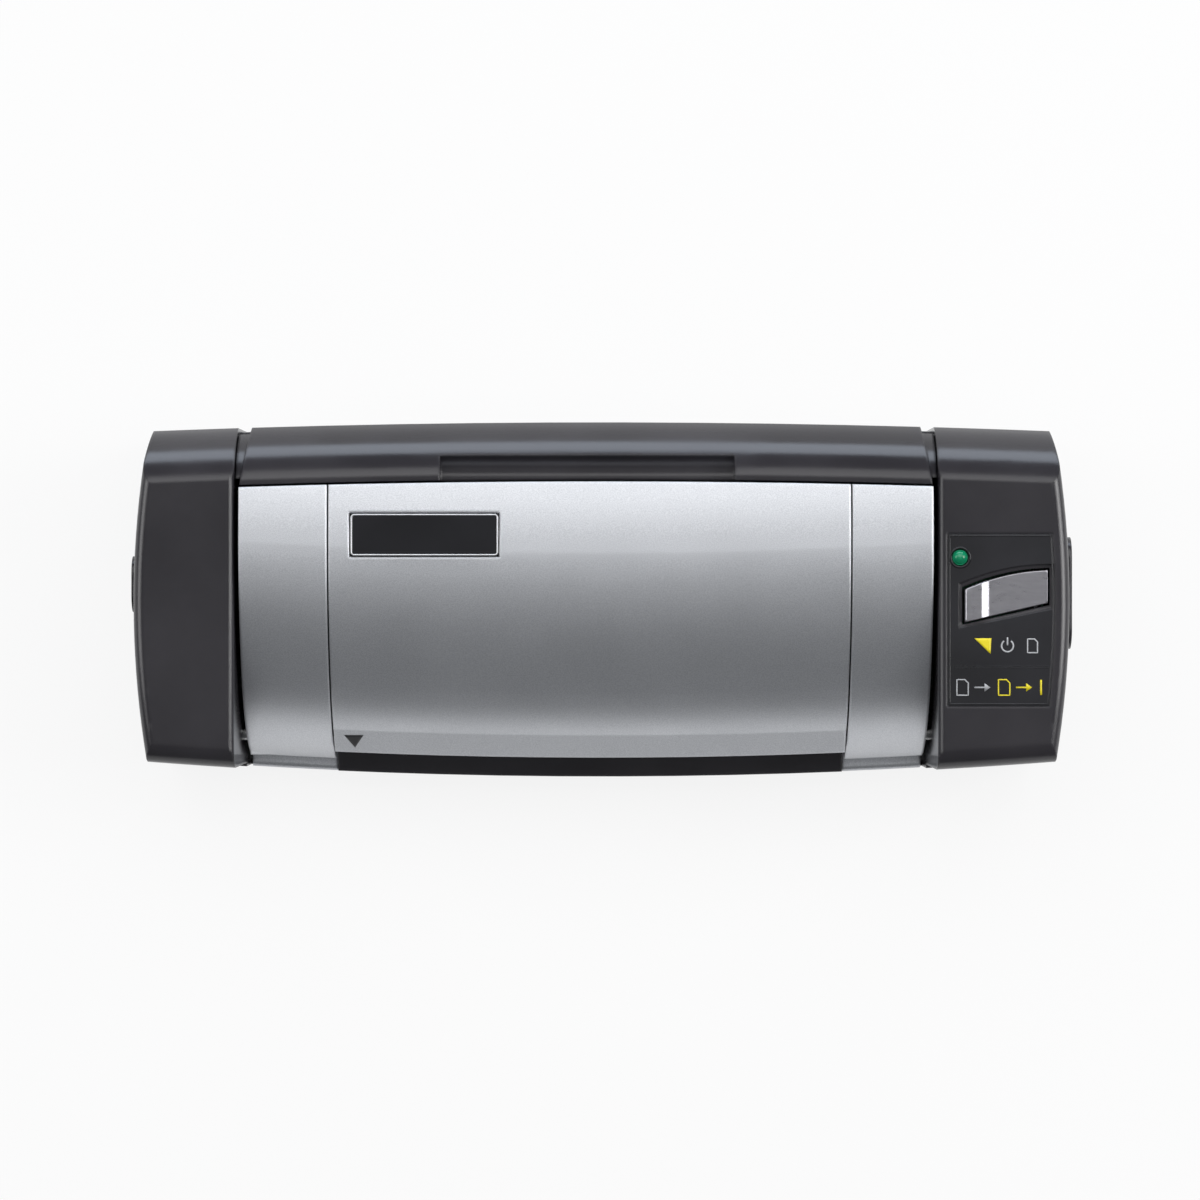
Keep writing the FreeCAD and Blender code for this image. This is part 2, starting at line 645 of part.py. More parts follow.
def base_housing():
    """The black tub under everything, with the front lip and the decks under the wings."""
    outer = plan_block("base_outer", "0", "foot_height", "parting_height - foot_height")
    tub = cut("base_tub", outer, [plan_block("base_cavity", "wall", FLOOR, "parting_height")])
    trim = front_wall("base_trim", "0", "0", "cap_front_round")
    mouth = box("base_mouth", (LEFT_CAP, RIGHT_CAP), (f"-{FAR}", "bed_front"), (DECK, FAR))
    open_tub = cut("base_open_tub", tub, [mouth])
    decks = [shared(f"{side}_base_deck", [trim, box(
        f"{side}_base_deck_block", between(way, CAP_FACE[side], along(SEAM[side], way, "wall")),
        (f"-{FAR}", "deck_rear"), (f"{DECK} - guide", DECK))]) for side, way in INWARD.items()]
    cheeks = [shared(f"{side}_base_cheek", [trim,
        box(f"{side}_base_cheek_block", between(-INWARD[side], CAP_FACE[side],
                                                along(CAP_FACE[side], -INWARD[side], "wall")),
            (f"-{FAR}", "deck_rear"), ("foot_height", "parting_height"))]) for side in INWARD]
    slope = "((lip_top_z - lip_front_z) / (front_depth + bed_front))"
    wedge = padded("lip_wedge", "YZ_Plane", [
        (f"-front_depth - {PAST}", f"{DECK} - guide"), ("bed_front - fit", f"{DECK} - guide"),
        ("bed_front - fit", "lip_top_z"), (f"-front_depth - {PAST}", f"lip_front_z - {PAST} * {slope}")],
        f"{SEAM_LEFT} + fit", "panel_width - 2 * fit")
    hollow = padded("lip_hollow", "YZ_Plane", [
        ("-front_depth + 2 * wall", FLOOR), ("bed_front - wall", FLOOR),
        ("bed_front - wall", "lip_top_z - 1.3 * wall"),
        ("-front_depth + 2 * wall", f"lip_front_z + wall * {slope} - wall / 2")],
        f"{SEAM_LEFT} + wall", "panel_width - 2 * wall")
    under = box("lip_under", (f"{SEAM_LEFT} + wall", f"{SEAM_RIGHT} - wall"),
                ("-front_depth + 2 * wall", "bed_front - wall"),
                (FLOOR, DECK))
    lip = shared("base_lip", [wedge, trim])
    cradles = [box(f"sensor_cradle_{number}",
                   (along(MIDDLE, way, "cradle_x - wall"), along(MIDDLE, way, "cradle_x")) if way > 0
                   else (along(MIDDLE, way, "cradle_x"), along(MIDDLE, way, "cradle_x - wall")),
                   ("lower_sensor_y - sensor_depth / 2", "lower_sensor_y + sensor_depth / 2"),
                   ("foot_height", "paper_z - sensor_gap - sensor_height")) for number,
                   way in enumerate((-1, 1), start=1)]
    body = joined("base_body", [open_tub, *decks, lip, *cheeks, *cradles])
    tools = [hollow, under]
    for side, way in INWARD.items():
        span = between(way, CAP_FACE[side], SEAM[side])
        tools.append(shared(f"{side}_toe_seat", [
            box(f"{side}_toe_seat_block", span, (f"-{FAR}", "0"), ("foot_height + toe_lift - fit", DECK)),
            swung(f"{side}_toe_seat_turn", "YZ_Plane", [
                (f"-{FAR}", "0"), ("-front_depth + toe_skin + fit", "0"),
                ("-front_depth + toe_skin + fit", FAR),
                (f"-{FAR}", FAR)], FRONT_AXIS, ARC_SWEEP)]))
        tools.append(rod(f"{side}_pin_seat", "x", (pin_edges(side)[0], "hinge_y", "hinge_z"),
                         f"pin_length + {PAST}", "hinge_pin"))
    for number, (x, y) in enumerate(bed_posts() + cap_spots("left") + cap_spots("right"), start=1):
        tools.append(rod(f"floor_hole_{number}", "z", (x, y, f"foot_height - {PAST}"), f"wall + 2 * {PAST}",
                         "screw_shank + 4 * fit"))
        tools.append(rod(f"floor_sink_{number}", "z", (x, y, f"foot_height - {PAST}"),
                         f"screw_sink + {PAST}", "screw_head + 4 * fit"))
    keep("base_housing", cut("base_housing_cut", body, tools))


def bed_posts():
    """The four places where a screw from below holds the feed bed."""
    left, right = (f"({SEAM_LEFT} + post_side)", f"({SEAM_RIGHT} - post_side)")
    rear = "(rear_depth - post_rear_inset)"
    return [(left, "post_front_y"), (right, "post_front_y"), (left, rear), (right, rear)]


def front_toes():
    """Silver trim under each wing: the front face of the base and its small ledge."""
    for side, way in INWARD.items():
        section = swung(f"{side}_toe_section", "YZ_Plane", [
            ("-front_depth", "foot_height + toe_lift"),
            ("-front_depth", "toe_top - toe_round", "-toe_round"),
            ("-front_depth + toe_round", "toe_top"), (TOE_REAR, "toe_top"), (TOE_REAR, DECK),
            ("-front_depth + toe_skin", DECK), ("-front_depth + toe_skin", "foot_height + toe_lift")],
            FRONT_AXIS, ARC_SWEEP)
        span = between(way, along(CAP_FACE[side], way, "side_gap"), along(SEAM[side], -way, "fit"))
        keep(f"{side}_front_toe", shared(f"{side}_toe_shape", [
            section, box(f"{side}_toe_span", span, (f"-{FAR}", "0"), ("0", FAR))]))


# Centre of the arc that the lid's front falls along
FALL_Y = "(crown_y - (crown_radius - front_radius) * sin(blend_angle))"
FALL_Z = "(body_top - crown_radius + (crown_radius - front_radius) * cos(blend_angle))"
FRAME_INSET = "(skin + fit)"


def front_y(z, inset):
    """Where the lid's front arc, drawn in by an inset, stands at a height."""
    return f"({FALL_Y} - sqrt((front_radius - ({inset})) ^ 2 - (({z}) - {FALL_Z}) ^ 2))"


def front_z(y, inset):
    """How high the lid's front arc, drawn in by an inset, is at a place along Y."""
    return f"({FALL_Z} + sqrt((front_radius - ({inset})) ^ 2 - (({y}) - {FALL_Y}) ^ 2))"


def lid_arcs(inset, way):
    """Corners of the lid's upper line from the rear to its blend, or back when way is -1."""
    rear = "(lid_rear + 2 * wall)"
    fall = f"(rear_fall_radius - ({inset}))"
    crown = f"(crown_radius - ({inset}))"
    line = [
        (rear, f"body_top - rear_fall_radius + sqrt({fall} ^ 2 - ({rear} - crown_y) ^ 2)"),
        ("crown_y", f"body_top - ({inset})"),
        (f"crown_y - {crown} * sin(blend_angle)", f"body_top - crown_radius + {crown} * cos(blend_angle)")]
    radii = [fall, crown, f"(front_radius - ({inset}))"]
    if way > 0:
        return [(*corner, radius) for corner, radius in zip(line, radii)]
    return [(*line[2], f"-{crown}"), (*line[1], f"-{fall}"), line[0]]


def lid_rear_radius(inset):
    """Radius of the lid's rear arc, drawn in by an inset."""
    return f"(rear_arc_radius - rear_depth + lid_rear - ({inset}))"


def lid_rear_y(x, inset):
    """Where the lid's rear arc, drawn in by an inset, stands at a place along X."""
    return f"({REAR_AXIS} + sqrt({lid_rear_radius(inset)} ^ 2 - ({x}) ^ 2))"


def pin_edges(side):
    """Where a hinge pin starts and ends along X: half in the end cap, half in the knuckle."""
    way = INWARD[side]
    return between(way, along(CAP_FACE[side], -way, "pin_length / 2"),
                   along(LID_EDGE[side], way, "pin_length / 2"))


def lid_plan(name, left, right, inset):
    """Everything before the lid's rear arc between two places along X."""
    return padded(name, "XY_Plane", [
        (left, f"-{FAR}"), (right, f"-{FAR}"), (right, lid_rear_y(right, inset), lid_rear_radius(inset)),
        (left, lid_rear_y(left, inset))], "0", f"2 * {FAR}")


def lid_middle_panel():
    """The silver middle skin; its lower edge kicks out over the mouth as a lip."""
    section = swung("panel_section", "YZ_Plane", lid_arcs("0", 1) + [
        ("lip_crease_y", front_z("lip_crease_y", "0")), ("lip_edge_y", "lip_edge_z"),
        ("lip_edge_y + skin / 2", "lip_edge_z - skin"),
        ("lip_crease_y + skin / 2", front_z("lip_crease_y + skin / 2", "skin"), "-(front_radius - skin)"),
        *lid_arcs("skin", -1)], FRONT_AXIS, ARC_SWEEP)
    plan = lid_plan("panel_plan", f"{SEAM_LEFT} + seam / 2", f"{SEAM_RIGHT} - seam / 2", "0")
    seat = box("plate_seat", ("plate_x - fit", "plate_x + plate_width + fit"),
               ("plate_y - fit", "plate_y + plate_depth + fit"), ("body_top - plate_thick", FAR))
    keep("lid_middle_panel", cut("panel_cut", shared("panel_shape", [section, plan]), [seat]))
    keep("name_plate", box("plate", ("plate_x", "plate_x + plate_width"),
                           ("plate_y", "plate_y + plate_depth"),
                           ("body_top - plate_thick", "body_top")))


def lid_wing(side):
    """One silver wing skin, with the knuckle that turns on the hinge pin."""
    way = INWARD[side]
    section = swung(f"{side}_wing_section", "YZ_Plane", lid_arcs("0", 1) + [
        (front_y("hinge_z", "0"), "hinge_z"),
        (front_y("hinge_z", "skin"), "hinge_z", "-(front_radius - skin)"),
        *lid_arcs("skin", -1)], FRONT_AXIS, ARC_SWEEP)
    edges = between(way, LID_EDGE[side], along(SEAM[side], -way, "seam / 2"))
    skin = shared(f"{side}_wing_skin", [section, lid_plan(f"{side}_wing_plan", *edges, "0")])
    knuckle = rod(f"{side}_knuckle", "x", (edges[0], "hinge_y", "hinge_z"), f"({edges[1]}) - ({edges[0]})",
                  "2 * knuckle_radius")
    bore_edges = between(way, along(LID_EDGE[side], -way, PAST),
                         along(LID_EDGE[side], way, "pin_length / 2 + fit"))
    bore = rod(f"{side}_knuckle_bore", "x", (bore_edges[0], "hinge_y", "hinge_z"),
               f"({bore_edges[1]}) - ({bore_edges[0]})", "hinge_pin + 2 * running_fit")
    keep(f"{side}_lid_wing", cut(f"{side}_wing_cut", joined(f"{side}_wing_body", [skin, knuckle]), [bore]))
    first, last = pin_edges(side)
    keep(f"{side}_hinge_pin", rod(f"{side}_pin", "x", (first, "hinge_y", "hinge_z"),
                                  f"({last}) - ({first})", "hinge_pin"))


def lid_frame():
    """The black moulding under the skins: side and rear walls, a shelf, and four screw posts."""
    def block(name, inset, low):
        return swung(name, "YZ_Plane", lid_arcs(inset, 1) + [(front_y(low, inset), low),
            ("lid_rear + 2 * wall", low)],
                     FRONT_AXIS, ARC_SWEEP)
    left, right = f"({LID_LEFT} + frame_margin)", f"({LID_RIGHT} - frame_margin)"
    outer = shared("frame_outer", [block("frame_block", FRAME_INSET, UPPER_FACE),
                                   lid_plan("frame_plan", left, right, "0")])
    room = shared("frame_room", [block("frame_room_block", f"{FRAME_INSET} + wall", "hinge_z"),
                                 lid_plan("frame_room_plan", f"{left} + wall", f"{right} - wall", "wall")])
    shell = cut("frame_shell", outer, [room])
    shelf = box("frame_shelf", (f"{left} + wall / 2", f"{right} - wall / 2"),
                ("shelf_front", "lid_rear - 1.5 * wall"),
                ("shelf_z", "shelf_z + guide"))
    posts = [rod(f"frame_post_{number}", "z", (x, y, f"{UPPER_FACE} + guide"), "shelf_z - paper_z",
                 "post_diameter")
             for number, (x, y) in enumerate(lid_posts(), start=1)]
    body = joined("frame_body", [shell, shelf, *posts])
    tools = [box("frame_mouth", (f"{SEAM_LEFT} - wall", f"{SEAM_RIGHT} + wall"), (f"-{FAR}", "mouth_rear"),
                 ("0", "lip_edge_z + wall"))]
    for side, way in INWARD.items():
        edges = between(way, CAP_FACE[side], along(SEAM[side], way, PAST))
        tools.append(rod(f"{side}_knuckle_room", "x", (edges[0], "hinge_y", "hinge_z"),
                         f"({edges[1]}) - ({edges[0]})",
                         "2 * knuckle_radius + 8 * fit"))
    for number, (x, y) in enumerate(lid_posts(), start=1):
        tools.append(rod(f"frame_bore_{number}", "z", (x, y, UPPER_FACE), "screw_length", "screw_shank"))
    for number, (x, y) in enumerate(shelf_holes(), start=1):
        tools.append(rod(f"shelf_hole_{number}", "z", (x, y, f"shelf_z - {PAST}"), f"guide + 2 * {PAST}",
                         "stem_diameter + 4 * fit"))
    for number, way in enumerate((-1, 1), start=1):
        x = along(MIDDLE, way, "shelf_window_x")
        tools.append(box(f"shelf_window_{number}",
                         (f"{x} - shelf_window_width / 2", f"{x} + shelf_window_width / 2"),
                         ("shelf_window_front", "shelf_window_rear"),
                         (f"shelf_z - {PAST}", f"shelf_z + guide + {PAST}")))
    keep("lid_frame", cut("frame_cut", body, tools))


def lid_posts():
    """Where the upper guide is screwed to the lid frame."""
    left = f"({LID_LEFT} + frame_margin + wall + post_side)"
    right = f"({LID_RIGHT} - frame_margin - wall - post_side)"
    return [(x, y) for x in (left, right) for y in ("lid_post_front_y", "lid_post_rear_y")]


def shelf_holes():
    """Where the stems of the sprung pieces pass the shelf: front rollers, sensor, rear rollers."""
    return [(along(MIDDLE, way, reach), y) for y, reach in
            (("drive_y", "stem_x"), ("upper_sensor_y", "sensor_stem_x"),
             ("exit_y", "stem_x")) for way in (-1, 1)]


def upper_guide():
    """The plate that closes the lid below and leads the sheet in under its flared front."""
    left, right = (f"({LID_LEFT} + frame_margin + wall + fit)",
                   f"({LID_RIGHT} - frame_margin - wall - fit)")
    rear = lid_rear_y(left, "wall + 3 * fit")
    flat = box("upper_flat", (left, right), ("flare_start", rear), (UPPER_FACE, f"{UPPER_FACE} + guide"))
    flare = padded("upper_flare", "YZ_Plane", [
        ("flare_start", UPPER_FACE), ("flare_start + guide / 4", f"{UPPER_FACE} + guide"),
        ("flare_end", "flare_z + guide"), ("flare_end", "flare_z")], f"{SEAM_LEFT} - guide",
        "panel_width + 2 * guide")
    plate = joined("upper_plate", [flat, flare])
    tools = [box("upper_sensor_window",
                 (f"{MIDDLE} - sensor_length / 2 - window_gap",
                  f"{MIDDLE} + sensor_length / 2 + window_gap"),
                 ("upper_sensor_y - sensor_depth / 2 - window_gap",
                  "upper_sensor_y + sensor_depth / 2 + window_gap"), ("0", FAR))]
    for row in ("drive_y", "exit_y"):
        for number, way in enumerate((-1, 1), start=1):
            x = along(MIDDLE, way, "roller_x")
            tools.append(box(f"pinch_window_{row}_{number}",
                             (f"{x} - roller_length / 2 - roller_gap",
                              f"{x} + roller_length / 2 + roller_gap"),
                             (f"{row} - pinch_diameter / 2 - roller_gap",
                              f"{row} + pinch_diameter / 2 + roller_gap"), ("0", FAR)))
    for number, (x, y) in enumerate(lid_posts(), start=1):
        tools.append(rod(f"guide_hole_{number}", "z", (x, y, "paper_z"), "screw_length", "screw_shank"))
    tools.append(box("flag_slot", ("flag_x - flag_width / 2 - 2 * window_gap",
                                   "flag_x + flag_width / 2 + 2 * window_gap"),
                     ("flag_y - flag_room_front - window_gap", "flag_y + flag_room_rear + guide"),
                     ("0", FAR)))
    keep("upper_guide", cut("upper_guide_cut", plate, tools))


def reach(first, second):
    """Distance between the centres of two gears in mesh, from their counts of teeth."""
    return f"(module * ({first} + {second}) / 2)"


# Centres of the gear train in the right cap, seen along X
REDUCTION_Y = f"(drive_y + {reach('roller_gear_teeth', 'small_teeth')} * cos(reduction_angle))"
REDUCTION_Z = f"(shaft_z + {reach('roller_gear_teeth', 'small_teeth')} * sin(reduction_angle))"
MOTOR_Y = f"({REDUCTION_Y} + {reach('big_teeth', 'pinion_teeth')} * cos(motor_angle))"
MOTOR_Z = f"({REDUCTION_Z} + {reach('big_teeth', 'pinion_teeth')} * sin(motor_angle))"
IDLER_Y = "((drive_y + exit_y) / 2)"
IDLER_Z = f"(shaft_z + sqrt({reach('roller_gear_teeth', 'idler_teeth')} ^ 2 - ((exit_y - drive_y) / 2) ^ 2))"


def gear(name, teeth, centre, start, width, bore, phase):
    """A spur gear across X with straight-sided teeth; phase is the angle of one tooth."""
    count = round(value(teeth))
    module = value("module")
    pitch_radius = module * count / 2
    tip = pitch_radius + value("tooth_tip") * module
    root = pitch_radius - value("tooth_root") * module
    pitch = 2 * math.pi / count
    half_tooth = value("tooth_share") * pitch / 2
    lean = math.tan(math.radians(value("flank_angle"))) / pitch_radius
    points = []
    for number in range(count):
        middle = phase + number * pitch
        for radius, side in ((root, -1), (tip, -1), (tip, 1), (root, 1)):
            half = half_tooth - (radius - pitch_radius) * lean
            angle = middle + side * half
            points.append(FreeCAD.Vector(0, radius * math.cos(angle), radius * math.sin(angle)))
    along_x = FreeCAD.Vector(1, 0, 0)
    solid = Part.Face(Part.makePolygon(points + points[:1])).extrude(along_x * value(width))
    hole = Part.makeCylinder(value(bore) / 2, value(width), FreeCAD.Vector(), along_x)
    wheel = doc.addObject("Part::Feature", name)
    wheel.Shape = solid.cut(hole)
    place(wheel, start, *centre)
    return wheel


def meshed_phase(phase, teeth, other_teeth, angle):
    """The angle of a tooth of the next gear, so that it meshes at the line of centres."""
    turns = (angle - phase) * teeth / (2 * math.pi) % 1
    return angle + math.pi + (turns + 0.5) * 2 * math.pi / other_teeth


def gear_train():
    """Motor pinion, reduction gear, drive gear, idler and exit gear, each in mesh at rest."""
    count = {name: round(value(f"{name}_teeth"))
             for name in ("roller_gear", "idler", "small", "big", "pinion")}
    drive, rear = ("drive_y", "shaft_z"), ("exit_y", "shaft_z")
    reduction, idler, motor = (REDUCTION_Y, REDUCTION_Z), (IDLER_Y, IDLER_Z), (MOTOR_Y, MOTOR_Z)

    def heading(start, end):
        return math.atan2(value(f"({end[1]}) - ({start[1]})"), value(f"({end[0]}) - ({start[0]})"))

    drive_phase = 0.0
    small_phase = meshed_phase(drive_phase, count["roller_gear"], count["small"], heading(drive, reduction))
    pinion_phase = meshed_phase(small_phase, count["big"], count["pinion"], heading(reduction, motor))
    idler_phase = meshed_phase(drive_phase, count["roller_gear"], count["idler"], heading(drive, idler))
    exit_phase = meshed_phase(idler_phase, count["idler"], count["roller_gear"], heading(idler, rear))
    keep("drive_gear", gear("drive_wheel", "roller_gear_teeth", drive, GEAR_PLANE, "gear_width",
                            "shaft_diameter", drive_phase))
    keep("exit_gear", gear("exit_wheel", "roller_gear_teeth", rear, GEAR_PLANE, "gear_width",
                           "shaft_diameter", exit_phase))
    free_bore = "gear_pin + 2 * running_fit"
    keep("idler_gear", gear("idler_wheel", "idler_teeth", idler, GEAR_PLANE, "gear_width", free_bore,
                            idler_phase))
    small = gear("small_wheel", "small_teeth", reduction, GEAR_PLANE, "gear_width + gear_step", free_bore,
                 small_phase)
    big = gear("big_wheel", "big_teeth", reduction, OUTER_GEAR_PLANE, "gear_width", free_bore, small_phase)
    keep("reduction_gear", joined("reduction_wheels", [small, big]))
    pinion = gear("pinion_wheel", "pinion_teeth", motor, OUTER_GEAR_PLANE, "gear_width", "motor_shaft",
                  pinion_phase)
    keep("motor_pinion", pinion)
    pins = [rod(f"{name}_pin", "x", (f"{GEAR_PLANE} - pin_overhang", *centre),
                f"{RIGHT_PLATE} + plate - {GEAR_PLANE} + pin_overhang", "gear_pin")
            for name, centre in (("reduction", reduction), ("idler", idler))]
    keep("gear_pins", group("gear_pin_pair", pins))


def drive_motor():
    """The small stepper motor on the outside of the gear plate, its two screws and its shaft."""
    face = f"({RIGHT_PLATE} + plate)"
    can = rod("motor_can", "x", (face, MOTOR_Y, MOTOR_Z), "motor_length", "motor_diameter")
    flange = box("motor_flange", (face, f"{face} + flange"),
                 (f"{MOTOR_Y} - motor_ear", f"{MOTOR_Y} + motor_ear"),
                 (f"{MOTOR_Z} - motor_nose / 2", f"{MOTOR_Z} + motor_nose / 2"))
    nose = rod("motor_nose_ring", "x", (RIGHT_PLATE, MOTOR_Y, MOTOR_Z), "plate", "motor_nose")
    bore = rod("motor_bore", "x", (f"{RIGHT_PLATE} - {PAST}", MOTOR_Y, MOTOR_Z),
               f"motor_length - motor_shaft_end + 2 * {PAST}", "motor_shaft + 2 * running_fit")
    holes = [rod(f"ear_hole_{number}", "x", (f"{face} - {PAST}", along(MOTOR_Y, way, EAR_SCREW), MOTOR_Z),
                 f"flange + 2 * {PAST}", "screw_shank")
             for number, way in enumerate((-1, 1), start=1)]
    keep("drive_motor", cut("motor_cut", joined("motor_body", [can, flange, nose]), [bore, *holes]))
    keep("motor_shaft_rod", rod("motor_bar", "x", (OUTER_GEAR_PLANE, MOTOR_Y, MOTOR_Z),
                                f"{RIGHT_PLATE} + motor_length - motor_shaft_end - {OUTER_GEAR_PLANE}",
                                "motor_shaft"))


LEFT_PLATE = f"({LEFT_CAP} - wall - plate_gap - plate)"
RIGHT_PLATE = f"({RIGHT_CAP} + wall + gear_room)"
SHAFT_LEFT = f"({LEFT_PLATE} - shaft_overhang)"
SHAFT_RIGHT = f"({RIGHT_PLATE} + plate + shaft_overhang)"
GEAR_PLANE = f"({RIGHT_CAP} + wall + gear_clearance)"
OUTER_GEAR_PLANE = f"({GEAR_PLANE} + gear_width + gear_step)"
EAR_SCREW = "(motor_ear - ear_screw_inset)"


def feed_bed():
    """The lower plate the sheet slides over, with its posts, flag ears and windows."""
    turn = lid_rear_y(LID_LEFT, "0")
    wide = box("bed_wide", (f"{LEFT_CAP} + 4 * fit", f"{RIGHT_CAP} - 4 * fit"), ("bed_wing_front", turn),
               (BED_UNDER, BED_TOP))
    tail = box("bed_tail", (f"{SEAM_LEFT} + 4 * fit", f"{SEAM_RIGHT} - 4 * fit"), (turn, BED_REAR),
               (BED_UNDER, BED_TOP))
    nose = box("bed_nose", (f"{SEAM_LEFT} + 2 * fit", f"{SEAM_RIGHT} - 2 * fit"),
               ("bed_front", "bed_wing_front"), (BED_UNDER, BED_TOP))
    posts = [rod(f"bed_post_{number}", "z", (x, y, FLOOR), f"{BED_UNDER} - {FLOOR}", "post_diameter")
             for number, (x, y) in enumerate(bed_posts(), start=1)]
    ears = [box(f"flag_ear_{number}", (f"{x} - flag_ear / 2", f"{x} + flag_ear / 2"),
                ("flag_y - flag_axle", "flag_y + flag_axle"),
                ("flag_pivot_z - flag_axle", BED_UNDER)) for number, x in enumerate(flag_ears(), start=1)]
    tools = [box("bed_sensor_window",
                 (f"{MIDDLE} - sensor_length / 2 - window_gap",
                  f"{MIDDLE} + sensor_length / 2 + window_gap"),
                 ("lower_sensor_y - sensor_depth / 2 - window_gap",
                  "lower_sensor_y + sensor_depth / 2 + window_gap"), ("0", FAR)),
             box("bed_flag_slot", ("flag_x - flag_width / 2 - window_gap",
                                   "flag_x + flag_width / 2 + window_gap"),
                 ("flag_y - flag_room_front", "flag_y + flag_room_rear"), ("0", FAR)),
             rod("flag_bore", "x", ("flag_x - 3 * flag_width", "flag_y", "flag_pivot_z"), "6 * flag_width",
                 "flag_axle + 2 * running_fit")]
    for row in ("drive_y", "exit_y"):
        for number, way in enumerate((-1, 1), start=1):
            x = along(MIDDLE, way, "roller_x")
            tools.append(box(f"roller_window_{row}_{number}",
                             (f"{x} - roller_length / 2 - roller_gap",
                              f"{x} + roller_length / 2 + roller_gap"),
                             (f"{row} - roller_diameter / 2", f"{row} + roller_diameter / 2"),
                             (BED_UNDER, FAR)))
    for number, (x, y) in enumerate(bed_posts(), start=1):
        tools.append(rod(f"post_bore_{number}", "z", (x, y, FLOOR), "screw_length", "screw_shank"))
    keep("feed_bed", cut("feed_bed_cut", joined("bed_body", [wide, nose, tail, *posts, *ears]), tools))


def flag_ears():
    """The two ears that carry the paper flag's axle, either side of its arm."""
    reach = "(flag_width / 2 + flag_ear_gap + flag_ear / 2)"
    return [along("flag_x", way, reach) for way in (-1, 1)]


def paper_flag():
    """The lever that the sheet's front edge pushes back, and the fork sensor its tail leaves."""
    half = "(flag_width / 2 + flag_ear_gap + flag_ear + flag_axle_past)"
    axle = rod("flag_pin", "x", (f"flag_x - {half}", "flag_y", "flag_pivot_z"), f"2 * {half}", "flag_axle")
    arm = box("flag_arm", ("flag_x - flag_width / 2", "flag_x + flag_width / 2"),
              ("flag_y - flag_arm / 2", "flag_y + flag_arm / 2"),
              ("flag_pivot_z", "flag_tip_z"))
    tail = box("flag_blade", ("flag_x - flag_blade / 2", "flag_x + flag_blade / 2"),
               ("flag_y - flag_blade_depth / 2", "flag_y + flag_blade_depth / 2"),
               ("flag_pivot_z - flag_tail", "flag_pivot_z"))
    hub = rod("flag_hub", "x", ("flag_x - flag_width / 2", "flag_y", "flag_pivot_z"), "flag_width",
              "flag_hub")
    keep("paper_flag", joined("flag_body", [axle, arm, tail, hub]))
    fork_top = "(flag_pivot_z - flag_tail + fork_overlap)"
    block = box("fork_block", ("flag_x - fork_width / 2", "flag_x + fork_width / 2"),
                ("flag_y - fork_depth / 2", "flag_y + fork_depth / 2"), (FLOOR, fork_top))
    slit = box("fork_slit", ("flag_x - fork_slit / 2", "flag_x + fork_slit / 2"),
               ("flag_y - fork_depth", "flag_y + fork_depth"), (f"{fork_top} - fork_slit_depth", FAR))
    keep("flag_sensor", cut("fork_cut", block, [slit]))


def side_plates():
    """The two steel plates that carry the shafts; the right one carries the gears and motor."""
    for side, low, top in (("left", LEFT_PLATE, "left_plate_top"),
                           ("right", RIGHT_PLATE, "right_plate_top")):
        sheet_metal = box(f"{side}_plate_sheet", (low, f"{low} + plate"), ("plate_front_y", "plate_rear_y"),
                          (FLOOR, top))
        foot_edge = (f"{low} - plate_foot", f"{low} + plate") if side == "left" else (low,
            f"{low} + plate + plate_foot")
        foot = box(f"{side}_plate_bend", foot_edge, ("plate_front_y", "plate_rear_y"),
                   (FLOOR, f"{FLOOR} + plate"))
        tools = [rod(f"{side}_{row}_seat", "x", (f"{low} - {PAST}", row, "shaft_z"), f"plate + 2 * {PAST}",
                     "bush_diameter")
                 for row in ("drive_y", "exit_y")]
        if side == "right":
            tools.append(rod("motor_nose_hole", "x", (f"{low} - {PAST}", MOTOR_Y, MOTOR_Z),
                             f"plate + 2 * {PAST}", "motor_nose + 2 * fit"))
            for name, y, z in (("reduction", REDUCTION_Y, REDUCTION_Z), ("idler", IDLER_Y, IDLER_Z)):
                tools.append(rod(f"{name}_pin_hole", "x", (f"{low} - {PAST}", y, z), f"plate + 2 * {PAST}",
                                 "gear_pin"))
            for number, way in enumerate((-1, 1), start=1):
                tools.append(rod(f"motor_screw_hole_{number}", "x",
                                 (f"{low} - {PAST}", along(MOTOR_Y, way, EAR_SCREW), MOTOR_Z),
                                 f"plate + 2 * {PAST}", "screw_shank"))
        keep(f"{side}_side_plate", cut(f"{side}_plate_cut",
                                       joined(f"{side}_plate_body", [sheet_metal, foot]), tools))
    bushes = []
    for side, low in (("left", LEFT_PLATE), ("right", RIGHT_PLATE)):
        for row in ("drive_y", "exit_y"):
            start = f"({low} + plate / 2 - bush_length / 2)"
            sleeve = rod(f"{side}_{row}_sleeve", "x", (start, row, "shaft_z"), "bush_length",
                         "bush_diameter")
            bore = rod(f"{side}_{row}_bore", "x", (f"{start} - {PAST}", row, "shaft_z"),
                       f"bush_length + 2 * {PAST}", "shaft_diameter + 2 * running_fit")
            bushes.append(cut(f"{side}_{row}_bush", sleeve, [bore]))
    keep("shaft_bushes", group("bushes", bushes))


